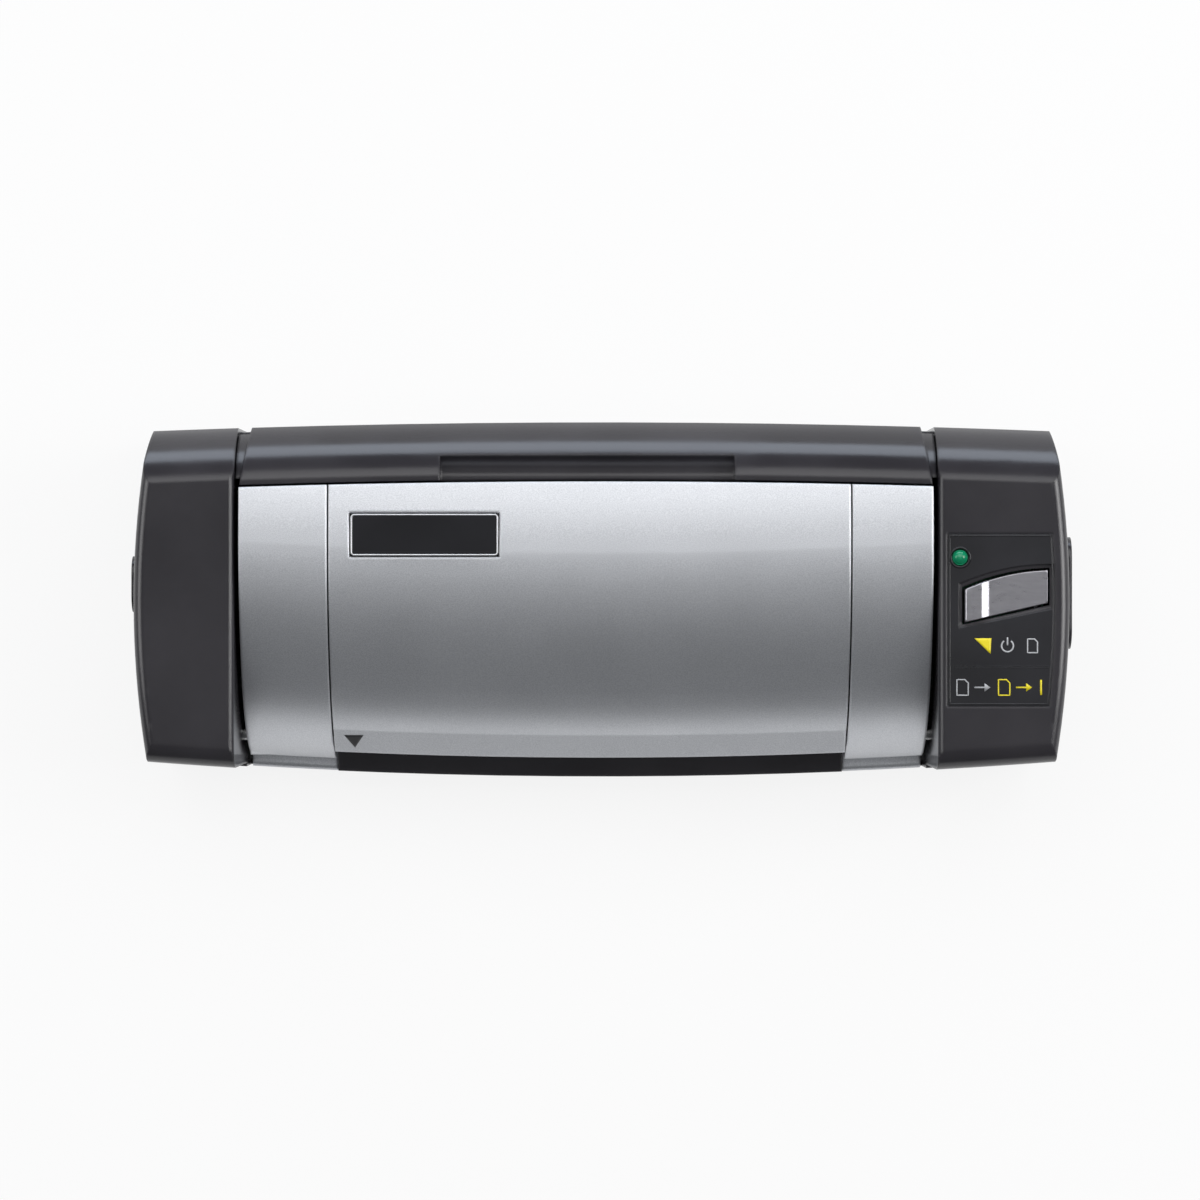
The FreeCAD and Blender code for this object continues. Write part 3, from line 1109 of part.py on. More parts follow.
def shaft_with_rollers(name, row):
    """A steel shaft and its two rubber rollers."""
    keep(f"{name}_shaft", rod(f"{name}_bar", "x", (SHAFT_LEFT, row, "shaft_z"),
                              f"{SHAFT_RIGHT} - {SHAFT_LEFT}", "shaft_diameter"))
    rollers = []
    for number, way in enumerate((-1, 1), start=1):
        start = f"({along(MIDDLE, way, 'roller_x')} - roller_length / 2)"
        tyre = rod(f"{name}_tyre_{number}", "x", (start, row, "shaft_z"), "roller_length",
                   "roller_diameter")
        bore = rod(f"{name}_tyre_bore_{number}", "x", (start, row, "shaft_z"), "roller_length",
                   "shaft_diameter")
        rollers.append(cut(f"{name}_roller_{number}", tyre, [bore]))
    keep(f"{name}_rollers", group(f"{name}_roller_pair", rollers))


def pinch_rollers(name, row):
    """One sprung holder in the lid with its axle of two rollers, and the springs that press it."""
    axle_z = "(paper_z + nip + pinch_diameter / 2)"
    bar_low = f"({axle_z} + pinch_diameter / 2 + holder_gap)"
    half = "(roller_x + roller_length / 2 + holder_overhang)"
    bar = box(f"{name}_holder_bar", (f"{MIDDLE} - {half}", f"{MIDDLE} + {half}"),
              (f"{row} - holder_depth / 2", f"{row} + holder_depth / 2"),
              (bar_low, f"{bar_low} + plate"))
    ears = [box(f"{name}_holder_ear_{index}", (f"{place_x} - plate / 2", f"{place_x} + plate / 2"),
                (f"{row} - holder_depth / 2", f"{row} + holder_depth / 2"),
                (f"{axle_z} - pinch_axle / 2 - 6 * fit", bar_low))
            for index, place_x in enumerate((f"({MIDDLE} - {half} + plate / 2)", MIDDLE,
                                             f"({MIDDLE} + {half} - plate / 2)"), start=1)]
    stems = [rod(f"{name}_stem_{index}", "z", (along(MIDDLE, way, "stem_x"), row, bar_low),
                 f"shelf_z + guide + stem_past - {bar_low}",
                 "stem_diameter") for index, way in enumerate((-1, 1), start=1)]
    bore = rod(f"{name}_axle_bore", "x", (f"{MIDDLE} - {half} - {PAST}", row, axle_z),
               f"2 * ({half} + {PAST})", "pinch_axle + 2 * running_fit")
    keep(f"{name}_pinch_holder", cut(f"{name}_holder_cut", joined(f"{name}_holder", [bar, *ears, *stems]),
                                     [bore]))
    axle = rod(f"{name}_pinch_axle", "x", (f"{MIDDLE} - {half}", row, axle_z), f"2 * {half}", "pinch_axle")
    wheels = [rod(f"{name}_pinch_wheel_{index}", "x",
                  (f"{along(MIDDLE, way, 'roller_x')} - roller_length / 2 + pinch_inset", row, axle_z),
                  "roller_length - 2 * pinch_inset", "pinch_diameter") for index,
                  way in enumerate((-1, 1), start=1)]
    keep(f"{name}_pinch_roller", joined(f"{name}_pinch_body", [axle, *wheels]))
    keep(f"{name}_pinch_springs", group(f"{name}_pinch_spring_pair", [
        spring(f"{name}_pinch_spring_{index}", along(MIDDLE, way, "stem_x"), row, f"({bar_low} + plate)",
               "shelf_z")
        for index, way in enumerate((-1, 1), start=1)]))


def spring(name, x, y, low, high):
    """A bowed leaf spring between two heights, with a hole for the stem that it presses along."""
    foot, crown = f"({low} + fit)", f"({high} - fit)"
    rise = f"({crown} - {foot})"
    bow = f"((leaf_reach ^ 2 + {rise} ^ 2) / (2 * {rise}))"
    inner = f"sqrt(({bow} - leaf_thick) ^ 2 - ({bow} - {rise}) ^ 2)"
    leaf = padded(f"{name}_leaf", "XZ_Plane", [
        (f"{x} - leaf_reach", foot), (f"{x} - {inner}", foot, f"-({bow} - leaf_thick)"),
        (f"{x} + {inner}", foot),
        (f"{x} + leaf_reach", foot, bow)], f"-({y}) - leaf_width / 2", "leaf_width")
    hole = rod(f"{name}_stem_hole", "z", (x, y, low), f"{high} - ({low})", "stem_diameter + 6 * fit")
    return cut(name, leaf, [hole])


def line_sensor(name, row, way):
    """A contact line sensor: its channel, glass and board; way is 1 when it looks up."""
    glass_face = f"(paper_z - ({way}) * sensor_gap)"
    back = f"({glass_face} - ({way}) * sensor_height)"

    def layer(label, half_length, half_depth, near, far):
        low, high = between(way, f"({back} + ({way}) * ({near}))", f"({back} + ({way}) * ({far}))")
        return box(label, (f"{MIDDLE} - {half_length}", f"{MIDDLE} + {half_length}"),
                   (f"{row} - {half_depth}", f"{row} + {half_depth}"),
                   (low, high))
    glass_size = ("(sensor_length / 2 - glass_end)", "(sensor_depth / 2 - glass_side)")
    seat_size = ("(sensor_length / 2 - board_end)", "(sensor_depth / 2 - board_side)")
    board_size = [f"({size} - fit)" for size in seat_size]
    back_board = "(board + board_side_gap)"
    channel = layer(f"{name}_channel", "sensor_length / 2", "sensor_depth / 2", "0", "sensor_height")
    tools = [layer(f"{name}_glass_seat", *glass_size, "sensor_height - glass", f"sensor_height + {PAST}"),
             layer(f"{name}_lens_slot", "(sensor_length / 2 - lens_end)", "lens_slot / 2", back_board,
                   "sensor_height"),
             layer(f"{name}_board_seat", *seat_size, f"-{PAST}", back_board)]
    pieces = [channel]
    if way < 0:
        pieces += [rod(f"{name}_stem_{index}", "z",
                       (along(MIDDLE, side, "sensor_stem_x"), row, f"({back} - fit)"),
                       f"shelf_z + guide + stem_past - {back}", "stem_diameter") for index,
                       side in enumerate((-1, 1), start=1)]
        tools[2] = layer(f"{name}_board_room", *seat_size, "board_side_gap", back_board)
    keep(f"{name}_sensor_channel", cut(f"{name}_channel_cut", joined(f"{name}_channel_body", pieces),
                                       tools))
    keep(f"{name}_sensor_glass", layer(f"{name}_glass", *glass_size, "sensor_height - glass",
                                       "sensor_height"))
    keep(f"{name}_sensor_board", layer(f"{name}_board", *board_size, "board_side_gap", back_board))
    if way < 0:
        keep("upper_sensor_springs", group("upper_spring_pair", [
            spring(f"upper_spring_{index}", along(MIDDLE, side, "sensor_stem_x"), row, back, "shelf_z")
            for index, side in enumerate((-1, 1), start=1)]))


def button_outline(grow):
    """The blade-shaped button seen from above, or the hole round it, grown on all sides."""
    return [(f"button_left - ({grow})", f"button_left_low - ({grow})"),
            (f"button_right + ({grow})", f"button_right_low - ({grow})"),
            (f"button_right + ({grow})", f"button_right_high + ({grow})", f"button_arc_radius + ({grow})"),
            (f"button_left - ({grow})", f"button_left_high + ({grow})")]


BUTTON_TOP = "(body_top + button_proud)"
PIVOT_X = "(button_right - pivot_inset)"
BUTTON_UNDER = f"({BUTTON_TOP} - button_thick)"
CONTROL_BOARD = f"({BUTTON_UNDER} - switch_height - plunger_lift - board)"


def right_cap_fittings(lined, tools, solid):
    """The right cap with its button opening, lamp hole, overlay seat, pivot ears and posts."""
    ears = [box(f"button_ear_{number}", (f"{PIVOT_X} - pivot * 1.2", f"{PIVOT_X} + pivot * 1.2"),
                (y, f"{y} + ear_thick"),
                ("pivot_z - ear_reach", "body_top - wall / 2")) for number,
                y in enumerate(button_ears(), start=1)]
    board_posts = [rod(f"control_post_{number}", "z", (*spot, f"{CONTROL_BOARD} + board"),
                       f"body_top - wall / 2 - {CONTROL_BOARD} - board",
                       "small_post") for number, spot in enumerate(control_posts(), start=1)]
    bump = side_bump("right_bump", "right", "right_bump_y", "right_bump_length", "right_bump_height")
    body = joined("right_cap_body", [lined, *ears, *board_posts, *cap_posts("right", solid), bump])
    well = padded("button_well", "XY_Plane", button_outline("well_margin"), "body_top - well_depth", FAR)
    opening = padded("button_opening", "XY_Plane", button_outline("button_gap"), "body_top - 2 * wall", FAR)
    tools = [*tools, well, opening, overlay_block("overlay_seat", "fit", FAR),
             rod("lamp_hole", "z", ("lamp_x", "lamp_y", "body_top - 2 * wall"), "3 * wall",
                 "lamp_diameter + 4 * fit"),
             rod("pivot_bore", "y", (PIVOT_X, f"{button_ears()[0]} - {PAST}", "pivot_z"),
                 f"{button_ears()[1]} - {button_ears()[0]} + ear_thick + 2 * {PAST}",
                 "pivot + 2 * running_fit")]
    for number, spot in enumerate(control_posts(), start=1):
        tools.append(rod(f"control_post_bore_{number}", "z", (*spot, CONTROL_BOARD), "small_screw_length",
                         "small_screw"))
    keep("right_end_cap", cut("right_cap_cut", body, tools + cap_post_bores("right")))


def button_ears():
    """Where the two ears of the button's pivot start along Y."""
    return ["(button_right_low - button_gap - 2 * fit - ear_thick)",
            "(button_right_high + button_gap + 2 * fit)"]


def control_posts():
    """The two posts that the control board is screwed to."""
    return [("control_post_x", "control_board_front + small_post / 2"),
            ("control_post_x", "control_board_rear - small_post / 2")]


def cap_spots(side):
    """Where a screw from below holds an end cap to the base."""
    x = along(END[side], INWARD[side], "cap_post_side")
    return [(x, "cap_post_front_y"), (x, "(rear_depth - cap_post_inset)")]


def cap_posts(side, solid):
    """The posts inside an end cap, from the base's floor up to the cap's outer skin."""
    posts = []
    for number, spot in enumerate(cap_spots(side), start=1):
        name = f"{side}_cap_post_{number}"
        posts.append(rod(name, "z", (*spot, FLOOR), f"rear_round_foot - {FLOOR}", "post_diameter"))
        tall = rod(f"{name}_tall", "z", (*spot, "parting_height"), "body_top - parting_height",
                   "post_diameter")
        posts.append(shared(f"{name}_top", [tall, solid]))
    return posts


def cap_post_bores(side):
    """The screw holes in the feet of an end cap's posts."""
    return [rod(f"{side}_cap_bore_{number}", "z", (*spot, FLOOR), "screw_length", "screw_shank")
            for number, spot in enumerate(cap_spots(side), start=1)]


def side_bump(name, side, y, length, height):
    """A low oval raised on the outer side of an end cap."""
    way = INWARD[side]
    low, high = between(way, along(END[side], -way, "bump_proud"), along(END[side], way, "wall"))
    half = f"(({length} - {height}) / 2)"
    bar = box(f"{name}_bar", (low, high), (f"{y} - {half}", f"{y} + {half}"),
              (f"bump_z - {height} / 2", f"bump_z + {height} / 2"))
    ends = [rod(f"{name}_end_{number}", "x", (low, along(y, sign, half), "bump_z"), f"({high}) - ({low})",
                height)
            for number, sign in enumerate((-1, 1), start=1)]
    return joined(name, [bar, *ends])


def overlay_block(name, grow, height):
    """The control panel's overlay; its outer edge follows the side's long arc."""
    radius = "(side_arc_radius - overlay_inset)"
    centre = f"({RIGHT_END} - side_arc_radius)"
    front, rear = f"(overlay_front - {grow})", f"(overlay_rear + {grow})"
    left = f"({RIGHT_CAP} + overlay_margin - {grow})"
    return padded(name, "XY_Plane", [
        (left, front), (f"{centre} + sqrt({radius} ^ 2 - {front} ^ 2) + {grow}", front, radius),
        (f"{centre} + sqrt({radius} ^ 2 - {rear} ^ 2) + {grow}", rear), (left, rear)],
        "body_top - overlay_thick", height)


def controls():
    """Overlay, button with its pivot and plunger, switch, lamp and the board that carries them."""
    well = padded("overlay_well", "XY_Plane", button_outline("well_margin + fit"), "0", f"2 * {FAR}")
    lamp_hole = rod("overlay_lamp_hole", "z", ("lamp_x", "lamp_y", "0"), FAR, "lamp_diameter + 4 * fit")
    keep("control_overlay", cut("overlay_cut", overlay_block("overlay_sheet", "0", "overlay_thick"),
                                [well, lamp_hole]))
    blade = padded("button_blade", "XY_Plane", button_outline("0"), BUTTON_UNDER, "button_thick")
    pivot = rod("button_pivot", "y", (PIVOT_X, button_ears()[0], "pivot_z"),
                f"{button_ears()[1]} + ear_thick - {button_ears()[0]}", "pivot")
    web = box("button_web", (f"{PIVOT_X} - pivot", f"{PIVOT_X} + pivot"),
              ("button_right_low", "button_right_high"), ("pivot_z - pivot", BUTTON_UNDER))
    keep("scan_button", joined("button_body", [blade, pivot, web]))
    board_top = f"({CONTROL_BOARD} + board)"
    keep("switch_plunger", rod("plunger", "z", ("switch_x", "switch_y", f"{board_top} + board"),
                               f"{BUTTON_UNDER} - 3 * fit - {board_top} - board", "plunger_diameter"))
    case = box("switch_case", ("switch_x - switch_side / 2", "switch_x + switch_side / 2"),
               ("switch_y - switch_side / 2", "switch_y + switch_side / 2"),
               (board_top, f"{board_top} + switch_height"))
    bore = rod("switch_bore", "z", ("switch_x", "switch_y", f"{board_top} + 2 * fit"), "switch_height",
               "plunger_diameter + 8 * fit")
    keep("tact_switch", cut("switch_cut", case, [bore]))
    plate = box("control_board_plate",
                (f"{RIGHT_CAP} + wall + board_gap", "control_post_x + small_post / 2"),
                ("control_board_front", "control_board_rear"), (CONTROL_BOARD, board_top))
    holes = [rod(f"control_board_hole_{number}", "z", (*spot, f"{CONTROL_BOARD} - {PAST}"),
                 f"board + 2 * {PAST}", "small_screw")
             for number, spot in enumerate(control_posts(), start=1)]
    keep("control_board", cut("control_board_cut", plate, holes))
    stem = rod("lamp_stem", "z", ("lamp_x", "lamp_y", board_top), f"body_top - fit - {board_top}",
               "lamp_diameter")
    dome = doc.addObject("Part::Sphere", "lamp_dome")
    bind(dome, "Radius", "lamp_diameter / 2")
    place(dome, "lamp_x", "lamp_y", "body_top - lamp_diameter / 4")
    keep("status_lamp", joined("lamp_body", [stem, dome]))


def left_cap_fittings(lined, tools, solid):
    """The left cap with its socket bezel, posts and the board inside."""
    bump = side_bump("socket_bezel", "left", "socket_y", "left_bump_length", "left_bump_height")
    board_top = "(bump_z - socket_height / 2)"
    posts = [rod(f"board_post_{number}", "z", (*spot, board_top), f"body_top - wall / 2 - {board_top}",
                 "small_post")
             for number, spot in enumerate(board_posts(), start=1)]
    body = joined("left_cap_body", [lined, bump, *posts, *cap_posts("left", solid)])
    window = box("socket_window", (f"{LEFT_END} - 2 * bump_proud", f"{LEFT_END} + 3 * wall"),
                 ("socket_y - socket_width / 2 - fit", "socket_y + socket_width / 2 + fit"),
                 (f"{board_top} - fit", f"{board_top} + socket_height + fit"))
    bores = [rod(f"board_post_bore_{number}", "z", (*spot, f"{board_top} - board"), "small_screw_length",
                 "small_screw")
             for number, spot in enumerate(board_posts(), start=1)]
    keep("left_end_cap", cut("left_cap_cut", body, [*tools, window, *bores, *cap_post_bores("left")]))
    plate = box("main_board_plate", (f"{LEFT_END} + board_margin", f"{LEFT_CAP} - wall - board_gap"),
                ("board_front", "board_rear"), (f"{board_top} - board", board_top))
    holes = [rod(f"main_board_hole_{number}", "z", (*spot, f"{board_top} - 2 * board"), "3 * board",
                 "small_screw")
             for number, spot in enumerate(board_posts(), start=1)]
    keep("main_board", cut("main_board_cut", plate, holes))
    shell = box("socket_shell", (f"{LEFT_END} - bump_proud + 2 * fit",
                                 f"{LEFT_END} - bump_proud + socket_length"),
                ("socket_y - socket_width / 2", "socket_y + socket_width / 2"),
                (board_top, f"{board_top} + socket_height"))
    mouth = box("socket_mouth", (f"{LEFT_END} - 2 * bump_proud",
                                 f"{LEFT_END} - bump_proud + socket_length - socket_back"),
                ("socket_y - socket_width / 2 + socket_sheet",
                 "socket_y + socket_width / 2 - socket_sheet"),
                 (f"{board_top} + socket_sheet", f"{board_top} + socket_height - socket_sheet"))
    tongue = box("socket_tongue", (f"{LEFT_END} - bump_proud + tongue_set",
                                   f"{LEFT_END} - bump_proud + socket_length - socket_back"),
                 ("socket_y - socket_width / 4", "socket_y + socket_width / 4"),
                 ("bump_z - tongue / 2", "bump_z + tongue / 2"))
    keep("usb_socket", joined("socket_body", [cut("socket_cut", shell, [mouth]), tongue]))


def board_posts():
    """The two posts that the main board is screwed to."""
    x = f"({LEFT_CAP} - wall - board_gap - small_post / 2)"
    return [(x, "board_front + small_post / 2"), (x, "board_rear - small_post / 2")]


def screw(name, x, y, seat, way, size, length, head, head_height):
    """A pan-head screw whose head's flat lies at its seat; way is 1 when it points up."""
    low, high = between(way, seat, f"({seat} + ({way}) * ({length}))")
    shank = rod(f"{name}_shank", "z", (x, y, low), f"({high}) - ({low})", size)
    low, high = between(-way, seat, f"({seat} - ({way}) * ({head_height}))")
    cap = rod(f"{name}_head", "z", (x, y, low), f"({high}) - ({low})", head)
    return joined(name, [shank, cap])


def screws_and_feet():
    """The fasteners, alike ones together, and the four rubber feet."""
    seat = "(foot_height + screw_sink)"
    spots = bed_posts() + cap_spots("left") + cap_spots("right")
    keep("base_screws", group("base_screw_set", [
        screw(f"base_screw_{number}", x, y, seat, 1, "screw_shank", "screw_length", "screw_head",
              "screw_head_height")
        for number, (x, y) in enumerate(spots, start=1)]))
    keep("lid_screws", group("lid_screw_set", [
        screw(f"lid_screw_{number}", x, y, UPPER_FACE, 1, "screw_shank", "lid_screw_length", "screw_head",
              "screw_head_height")
        for number, (x, y) in enumerate(lid_posts(), start=1)]))
    boards = [(*spot, CONTROL_BOARD)
              for spot in control_posts()] + [(*spot, "(bump_z - socket_height / 2 - board)")
                                              for spot in board_posts()]
    keep("board_screws", group("board_screw_set", [
        screw(f"board_screw_{number}", x, y, z, 1, "small_screw", "board_screw_length", "small_head",
              "small_head_height")
        for number, (x, y, z) in enumerate(boards, start=1)]))
    feet = [rod(f"foot_{number}", "z", (along("0", side, "foot_x"), along("0", row, "foot_y"), "0"),
                "foot_height", "foot_diameter")
            for number, (side, row) in enumerate([(-1, -1), (1, -1), (-1, 1), (1, 1)], start=1)]
    keep("rubber_feet", group("foot_set", feet))
    face = f"({RIGHT_PLATE} + plate + flange)"
    screws = []
    for number, way in enumerate((-1, 1), start=1):
        y = along(MOTOR_Y, way, EAR_SCREW)
        shank = rod(f"motor_screw_shank_{number}", "x", (RIGHT_PLATE, y, MOTOR_Z),
                    f"{face} - {RIGHT_PLATE}", "screw_shank")
        head = rod(f"motor_screw_head_{number}", "x", (face, y, MOTOR_Z), "screw_head_height", "screw_head")
        screws.append(joined(f"motor_screw_{number}", [shank, head]))
    keep("motor_screws", group("motor_screw_set", screws))


fill_sheet(SIZES)
doc.recompute()
left_cap_fittings(*end_cap("left"))
right_cap_fittings(*end_cap("right"))
rear_bridge()
base_housing()
front_toes()
lid_middle_panel()
lid_wing("left")
lid_wing("right")
lid_frame()
upper_guide()
feed_bed()
paper_flag()
side_plates()
shaft_with_rollers("drive", "drive_y")
shaft_with_rollers("exit", "exit_y")
gear_train()
drive_motor()
pinch_rollers("front", "drive_y")
pinch_rollers("rear", "exit_y")
line_sensor("lower", "lower_sensor_y", 1)
line_sensor("upper", "upper_sensor_y", -1)
controls()
screws_and_feet()
doc.recompute()

for item in doc.Objects:
    if {"Invalid", "Error"} & set(item.State):
        raise RuntimeError(f"{item.Name} failed: {item.State}")
for label, piece in parts.items():
    if piece.Shape.isNull() or not piece.Shape.isValid():
        raise RuntimeError(f"{label} has no valid shape")

os.makedirs("parts", exist_ok=True)
for label, piece in parts.items():
    piece.Shape.exportStep(f"parts/{label}.step")
print(len(parts), "sub-parts written")
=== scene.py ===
# A small sheet-fed scanner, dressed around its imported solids: two black end caps, a silver lid
# between them, a black rear strip, and the rollers, gears and sensors inside.
import math

import bpy
import numpy as np
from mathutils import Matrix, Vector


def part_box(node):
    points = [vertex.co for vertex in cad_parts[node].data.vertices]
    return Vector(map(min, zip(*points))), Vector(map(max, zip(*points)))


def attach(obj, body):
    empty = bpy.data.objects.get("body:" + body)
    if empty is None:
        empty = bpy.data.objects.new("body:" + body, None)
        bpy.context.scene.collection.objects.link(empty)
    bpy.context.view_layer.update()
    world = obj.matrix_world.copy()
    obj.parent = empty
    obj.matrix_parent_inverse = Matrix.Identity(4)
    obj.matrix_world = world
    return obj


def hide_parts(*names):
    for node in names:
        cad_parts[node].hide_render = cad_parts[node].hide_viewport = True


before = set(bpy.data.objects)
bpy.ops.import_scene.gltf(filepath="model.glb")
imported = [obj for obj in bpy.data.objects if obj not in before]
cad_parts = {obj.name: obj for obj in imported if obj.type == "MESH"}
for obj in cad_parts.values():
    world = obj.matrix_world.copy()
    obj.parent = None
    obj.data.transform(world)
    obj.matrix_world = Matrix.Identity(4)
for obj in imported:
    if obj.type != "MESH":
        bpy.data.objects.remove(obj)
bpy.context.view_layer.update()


# The black shell: base tub, end caps and the strip behind the lid, injection-moulded in ABS with
# a satin-gloss skin. The caps and the strip stand on the tub's rim, and screws through the tub's
# floor hold the caps.
def new_material(name):
    """An empty node material and its parts: the material, its nodes, its links and its shader."""
    material = bpy.data.materials.new(name)
    material.use_nodes = True
    tree = material.node_tree
    return material, tree.nodes, tree.links, tree.nodes["Principled BSDF"]


def noise(nodes, links, scale, detail=4.0, stretch=(1.0, 1.0, 1.0)):
    """A noise that reads Object coordinates; stretch squeezes it along an axis."""
    place = nodes.new("ShaderNodeTexCoord")
    squeeze = nodes.new("ShaderNodeMapping")
    squeeze.inputs["Scale"].default_value = stretch
    texture = nodes.new("ShaderNodeTexNoise")
    texture.inputs["Scale"].default_value = scale
    texture.inputs["Detail"].default_value = detail
    links.new(place.outputs["Object"], squeeze.inputs["Vector"])
    links.new(squeeze.outputs["Vector"], texture.inputs["Vector"])
    return texture.outputs["Fac"]


def spread(nodes, links, source, low, high, start=0.3, end=0.7):
    """Runs from a low to a high number while a source goes from start to end."""
    step = nodes.new("ShaderNodeMapRange")
    step.inputs["From Min"].default_value = start
    step.inputs["From Max"].default_value = end
    step.inputs["To Min"].default_value = low
    step.inputs["To Max"].default_value = high
    links.new(source, step.inputs["Value"])
    return step.outputs["Result"]


def two_tones(nodes, links, source, dark, light, start=0.35, end=0.65):
    """Runs from a dark to a light colour while a source goes from start to end."""
    ramp = nodes.new("ShaderNodeValToRGB")
    for element, position, colour in zip(ramp.color_ramp.elements, (start, end), (dark, light)):
        element.position = position
        element.color = (*colour, 1.0)
    links.new(source, ramp.inputs["Fac"])
    return ramp.outputs["Color"]


def grain(nodes, links, shader, source, depth, edge=0.00025):
    """Raises the surface by a depth where a source is high, and softens edges to a radius."""
    bump = nodes.new("ShaderNodeBump")
    bump.inputs["Strength"].default_value = 1.0
    bump.inputs["Distance"].default_value = depth
    links.new(source, bump.inputs["Height"])
    if edge:
        soft = nodes.new("ShaderNodeBevel")
        soft.samples = 4
        soft.inputs["Radius"].default_value = edge
        links.new(soft.outputs["Normal"], bump.inputs["Normal"])
    links.new(bump.outputs["Normal"], shader.inputs["Normal"])


def plastic(name, dark, light, smooth, rough, pores=2600.0, depth=0.000004, edge=0.00025, specular=0.5):
    """Moulded plastic: clouds shift its tone and its gloss, and pores of one size dent it."""
    material, nodes, links, shader = new_material(name)
    clouds = noise(nodes, links, scale=38.0)
    dents = noise(nodes, links, scale=pores, detail=2.0)
    links.new(two_tones(nodes, links, clouds, dark, light), shader.inputs["Base Color"])
    links.new(spread(nodes, links, clouds, smooth, rough), shader.inputs["Roughness"])
    grain(nodes, links, shader, dents, depth, edge)
    shader.inputs["Specular IOR Level"].default_value = specular
    return material


def dress(material, *names):
    """Gives CAD nodes a finish in their own material slots."""
    for name in names:
        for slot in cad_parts[name].material_slots:
            slot.material = material


shell_black = plastic("satin_black", dark=(0.022, 0.0205, 0.0245), light=(0.031, 0.029, 0.034),
                      smooth=0.13, rough=0.20, edge=0.0008, specular=0.55)
dress(shell_black, "base_housing", "left_end_cap", "right_end_cap", "rear_bridge")


# The lid's three silver skins and the two toes below its wings: moulded ABS sprayed with a fine
# aluminium-flake paint. The skins lie close over the black lid frame.
def flake_silver(name, dark, light, edge):
    """Silver paint: flakes tip the reflection a little each way, and the coat is faintly uneven."""
    material, nodes, links, shader = new_material(name)
    flakes = noise(nodes, links, scale=5200.0, detail=1.0)
    clouds = noise(nodes, links, scale=60.0, detail=3.0)
    links.new(two_tones(nodes, links, flakes, dark, light), shader.inputs["Base Color"])
    links.new(spread(nodes, links, clouds, low=0.37, high=0.41), shader.inputs["Roughness"])
    grain(nodes, links, shader, flakes, depth=0.0000025, edge=edge)
    shader.inputs["Metallic"].default_value = 0.94
    return material


silver = flake_silver("flake_silver", dark=(0.57, 0.585, 0.615), light=(0.71, 0.725, 0.755), edge=0.0008)
dress(silver, "lid_middle_panel", "left_lid_wing", "right_lid_wing", "left_front_toe", "right_front_toe")


# The name plate: a small polished black plate let into the middle skin, left bare, with a thin
# bright line printed round its edge.
def ring_mesh(name, rings, loop=False):
    """A closed skin over an array of rings (ring, point, xyz), each ring joined round. With loop the
    last ring meets the first, and otherwise a point at the middle closes each end. A skin whose
    volume comes out negative is turned inside out."""
    count, around, _ = rings.shape
    index = np.arange(count * around).reshape(count, around)
    following = np.roll(index, -1, axis=1)
    upper, upper_following = (np.roll(index, -1, axis=0), np.roll(following, -1, axis=0))
    quads = np.stack([index, following, upper_following, upper], axis=-1)
    quads = quads.reshape(-1, 4) if loop else quads[:-1].reshape(-1, 4)
    points = rings.reshape(-1, 3)
    faces = quads.tolist()
    if not loop:
        points = np.vstack([points, rings[0].mean(axis=0), rings[-1].mean(axis=0)])
        first_middle, last_middle = (count * around, count * around + 1)
        faces += np.stack([following[0], index[0], np.full(around, first_middle)], axis=-1).tolist()
        faces += np.stack([index[-1], following[-1], np.full(around, last_middle)], axis=-1).tolist()
    corner, second, third, fourth = (points[quads[:, place]] for place in range(4))
    volume = np.sum(corner * np.cross(second - corner, third - corner))
    volume += np.sum(corner * np.cross(third - corner, fourth - corner))
    if volume < 0:
        faces = [face[::-1] for face in faces]
    mesh = bpy.data.meshes.new(name)
    mesh.from_pydata(points.tolist(), [], faces)
    mesh.polygons.foreach_set("use_smooth", np.ones(len(faces), bool))
    piece = bpy.data.objects.new(name, mesh)
    bpy.context.scene.collection.objects.link(piece)
    return piece


def raised_rings(plan, height):
    """Rings of points (x, y) in the plan, each point lifted to its height."""
    return np.concatenate([plan, height[..., None]], axis=-1)


def rounded_box(left, right, front, rear, radius, steps=10):
    """Points (x, y) round a rectangle, going round each corner in a quarter circle."""
    turn = np.linspace(0.0, math.pi / 2, steps)
    corners = [(right - radius, rear - radius, 0.0), (left + radius, rear - radius, math.pi / 2),
               (left + radius, front + radius, math.pi), (right - radius, front + radius, 1.5 * math.pi)]
    return np.vstack([np.column_stack([x + radius * np.cos(turn + start), y + radius * np.sin(turn + start)])
                      for x, y, start in corners])


def outward(path):
    """Unit normals in the plan of a closed path, to the right of each point's way along it."""
    way = np.roll(path, -1, axis=0) - np.roll(path, 1, axis=0)
    way /= np.linalg.norm(way, axis=1, keepdims=True)
    return np.column_stack([way[:, 1], -way[:, 0]])


def bead(name, path, half_width, height, floor, sink=0.00005, steps=9):
    """A low rounded line round a closed path (x, y): half an ellipse, across by its cosine and up by
    its sine, is carried along the path. Its foot lies a little below the floor, which gives the
    height at each (x, y)."""
    turn = np.linspace(0.0, math.pi, steps)
    across = half_width * np.concatenate([[1.0], np.cos(turn), [-1.0]])
    up = np.concatenate([[-sink], height * np.sin(turn), [-sink]])
    plan = path + across[:, None, None] * outward(path)
    return ring_mesh(name, raised_rings(plan, floor(plan[..., 0], plan[..., 1]) + up[:, None]), loop=True)


def own(piece, material, body):
    """Gives a new piece its finish, the body that it moves with, and its slot's name."""
    piece.data.materials.append(material)
    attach(piece, body)
    return piece


def plate_face(x, y):
    """Height of the name plate's flat face."""
    return np.full_like(x, plate_high[2])


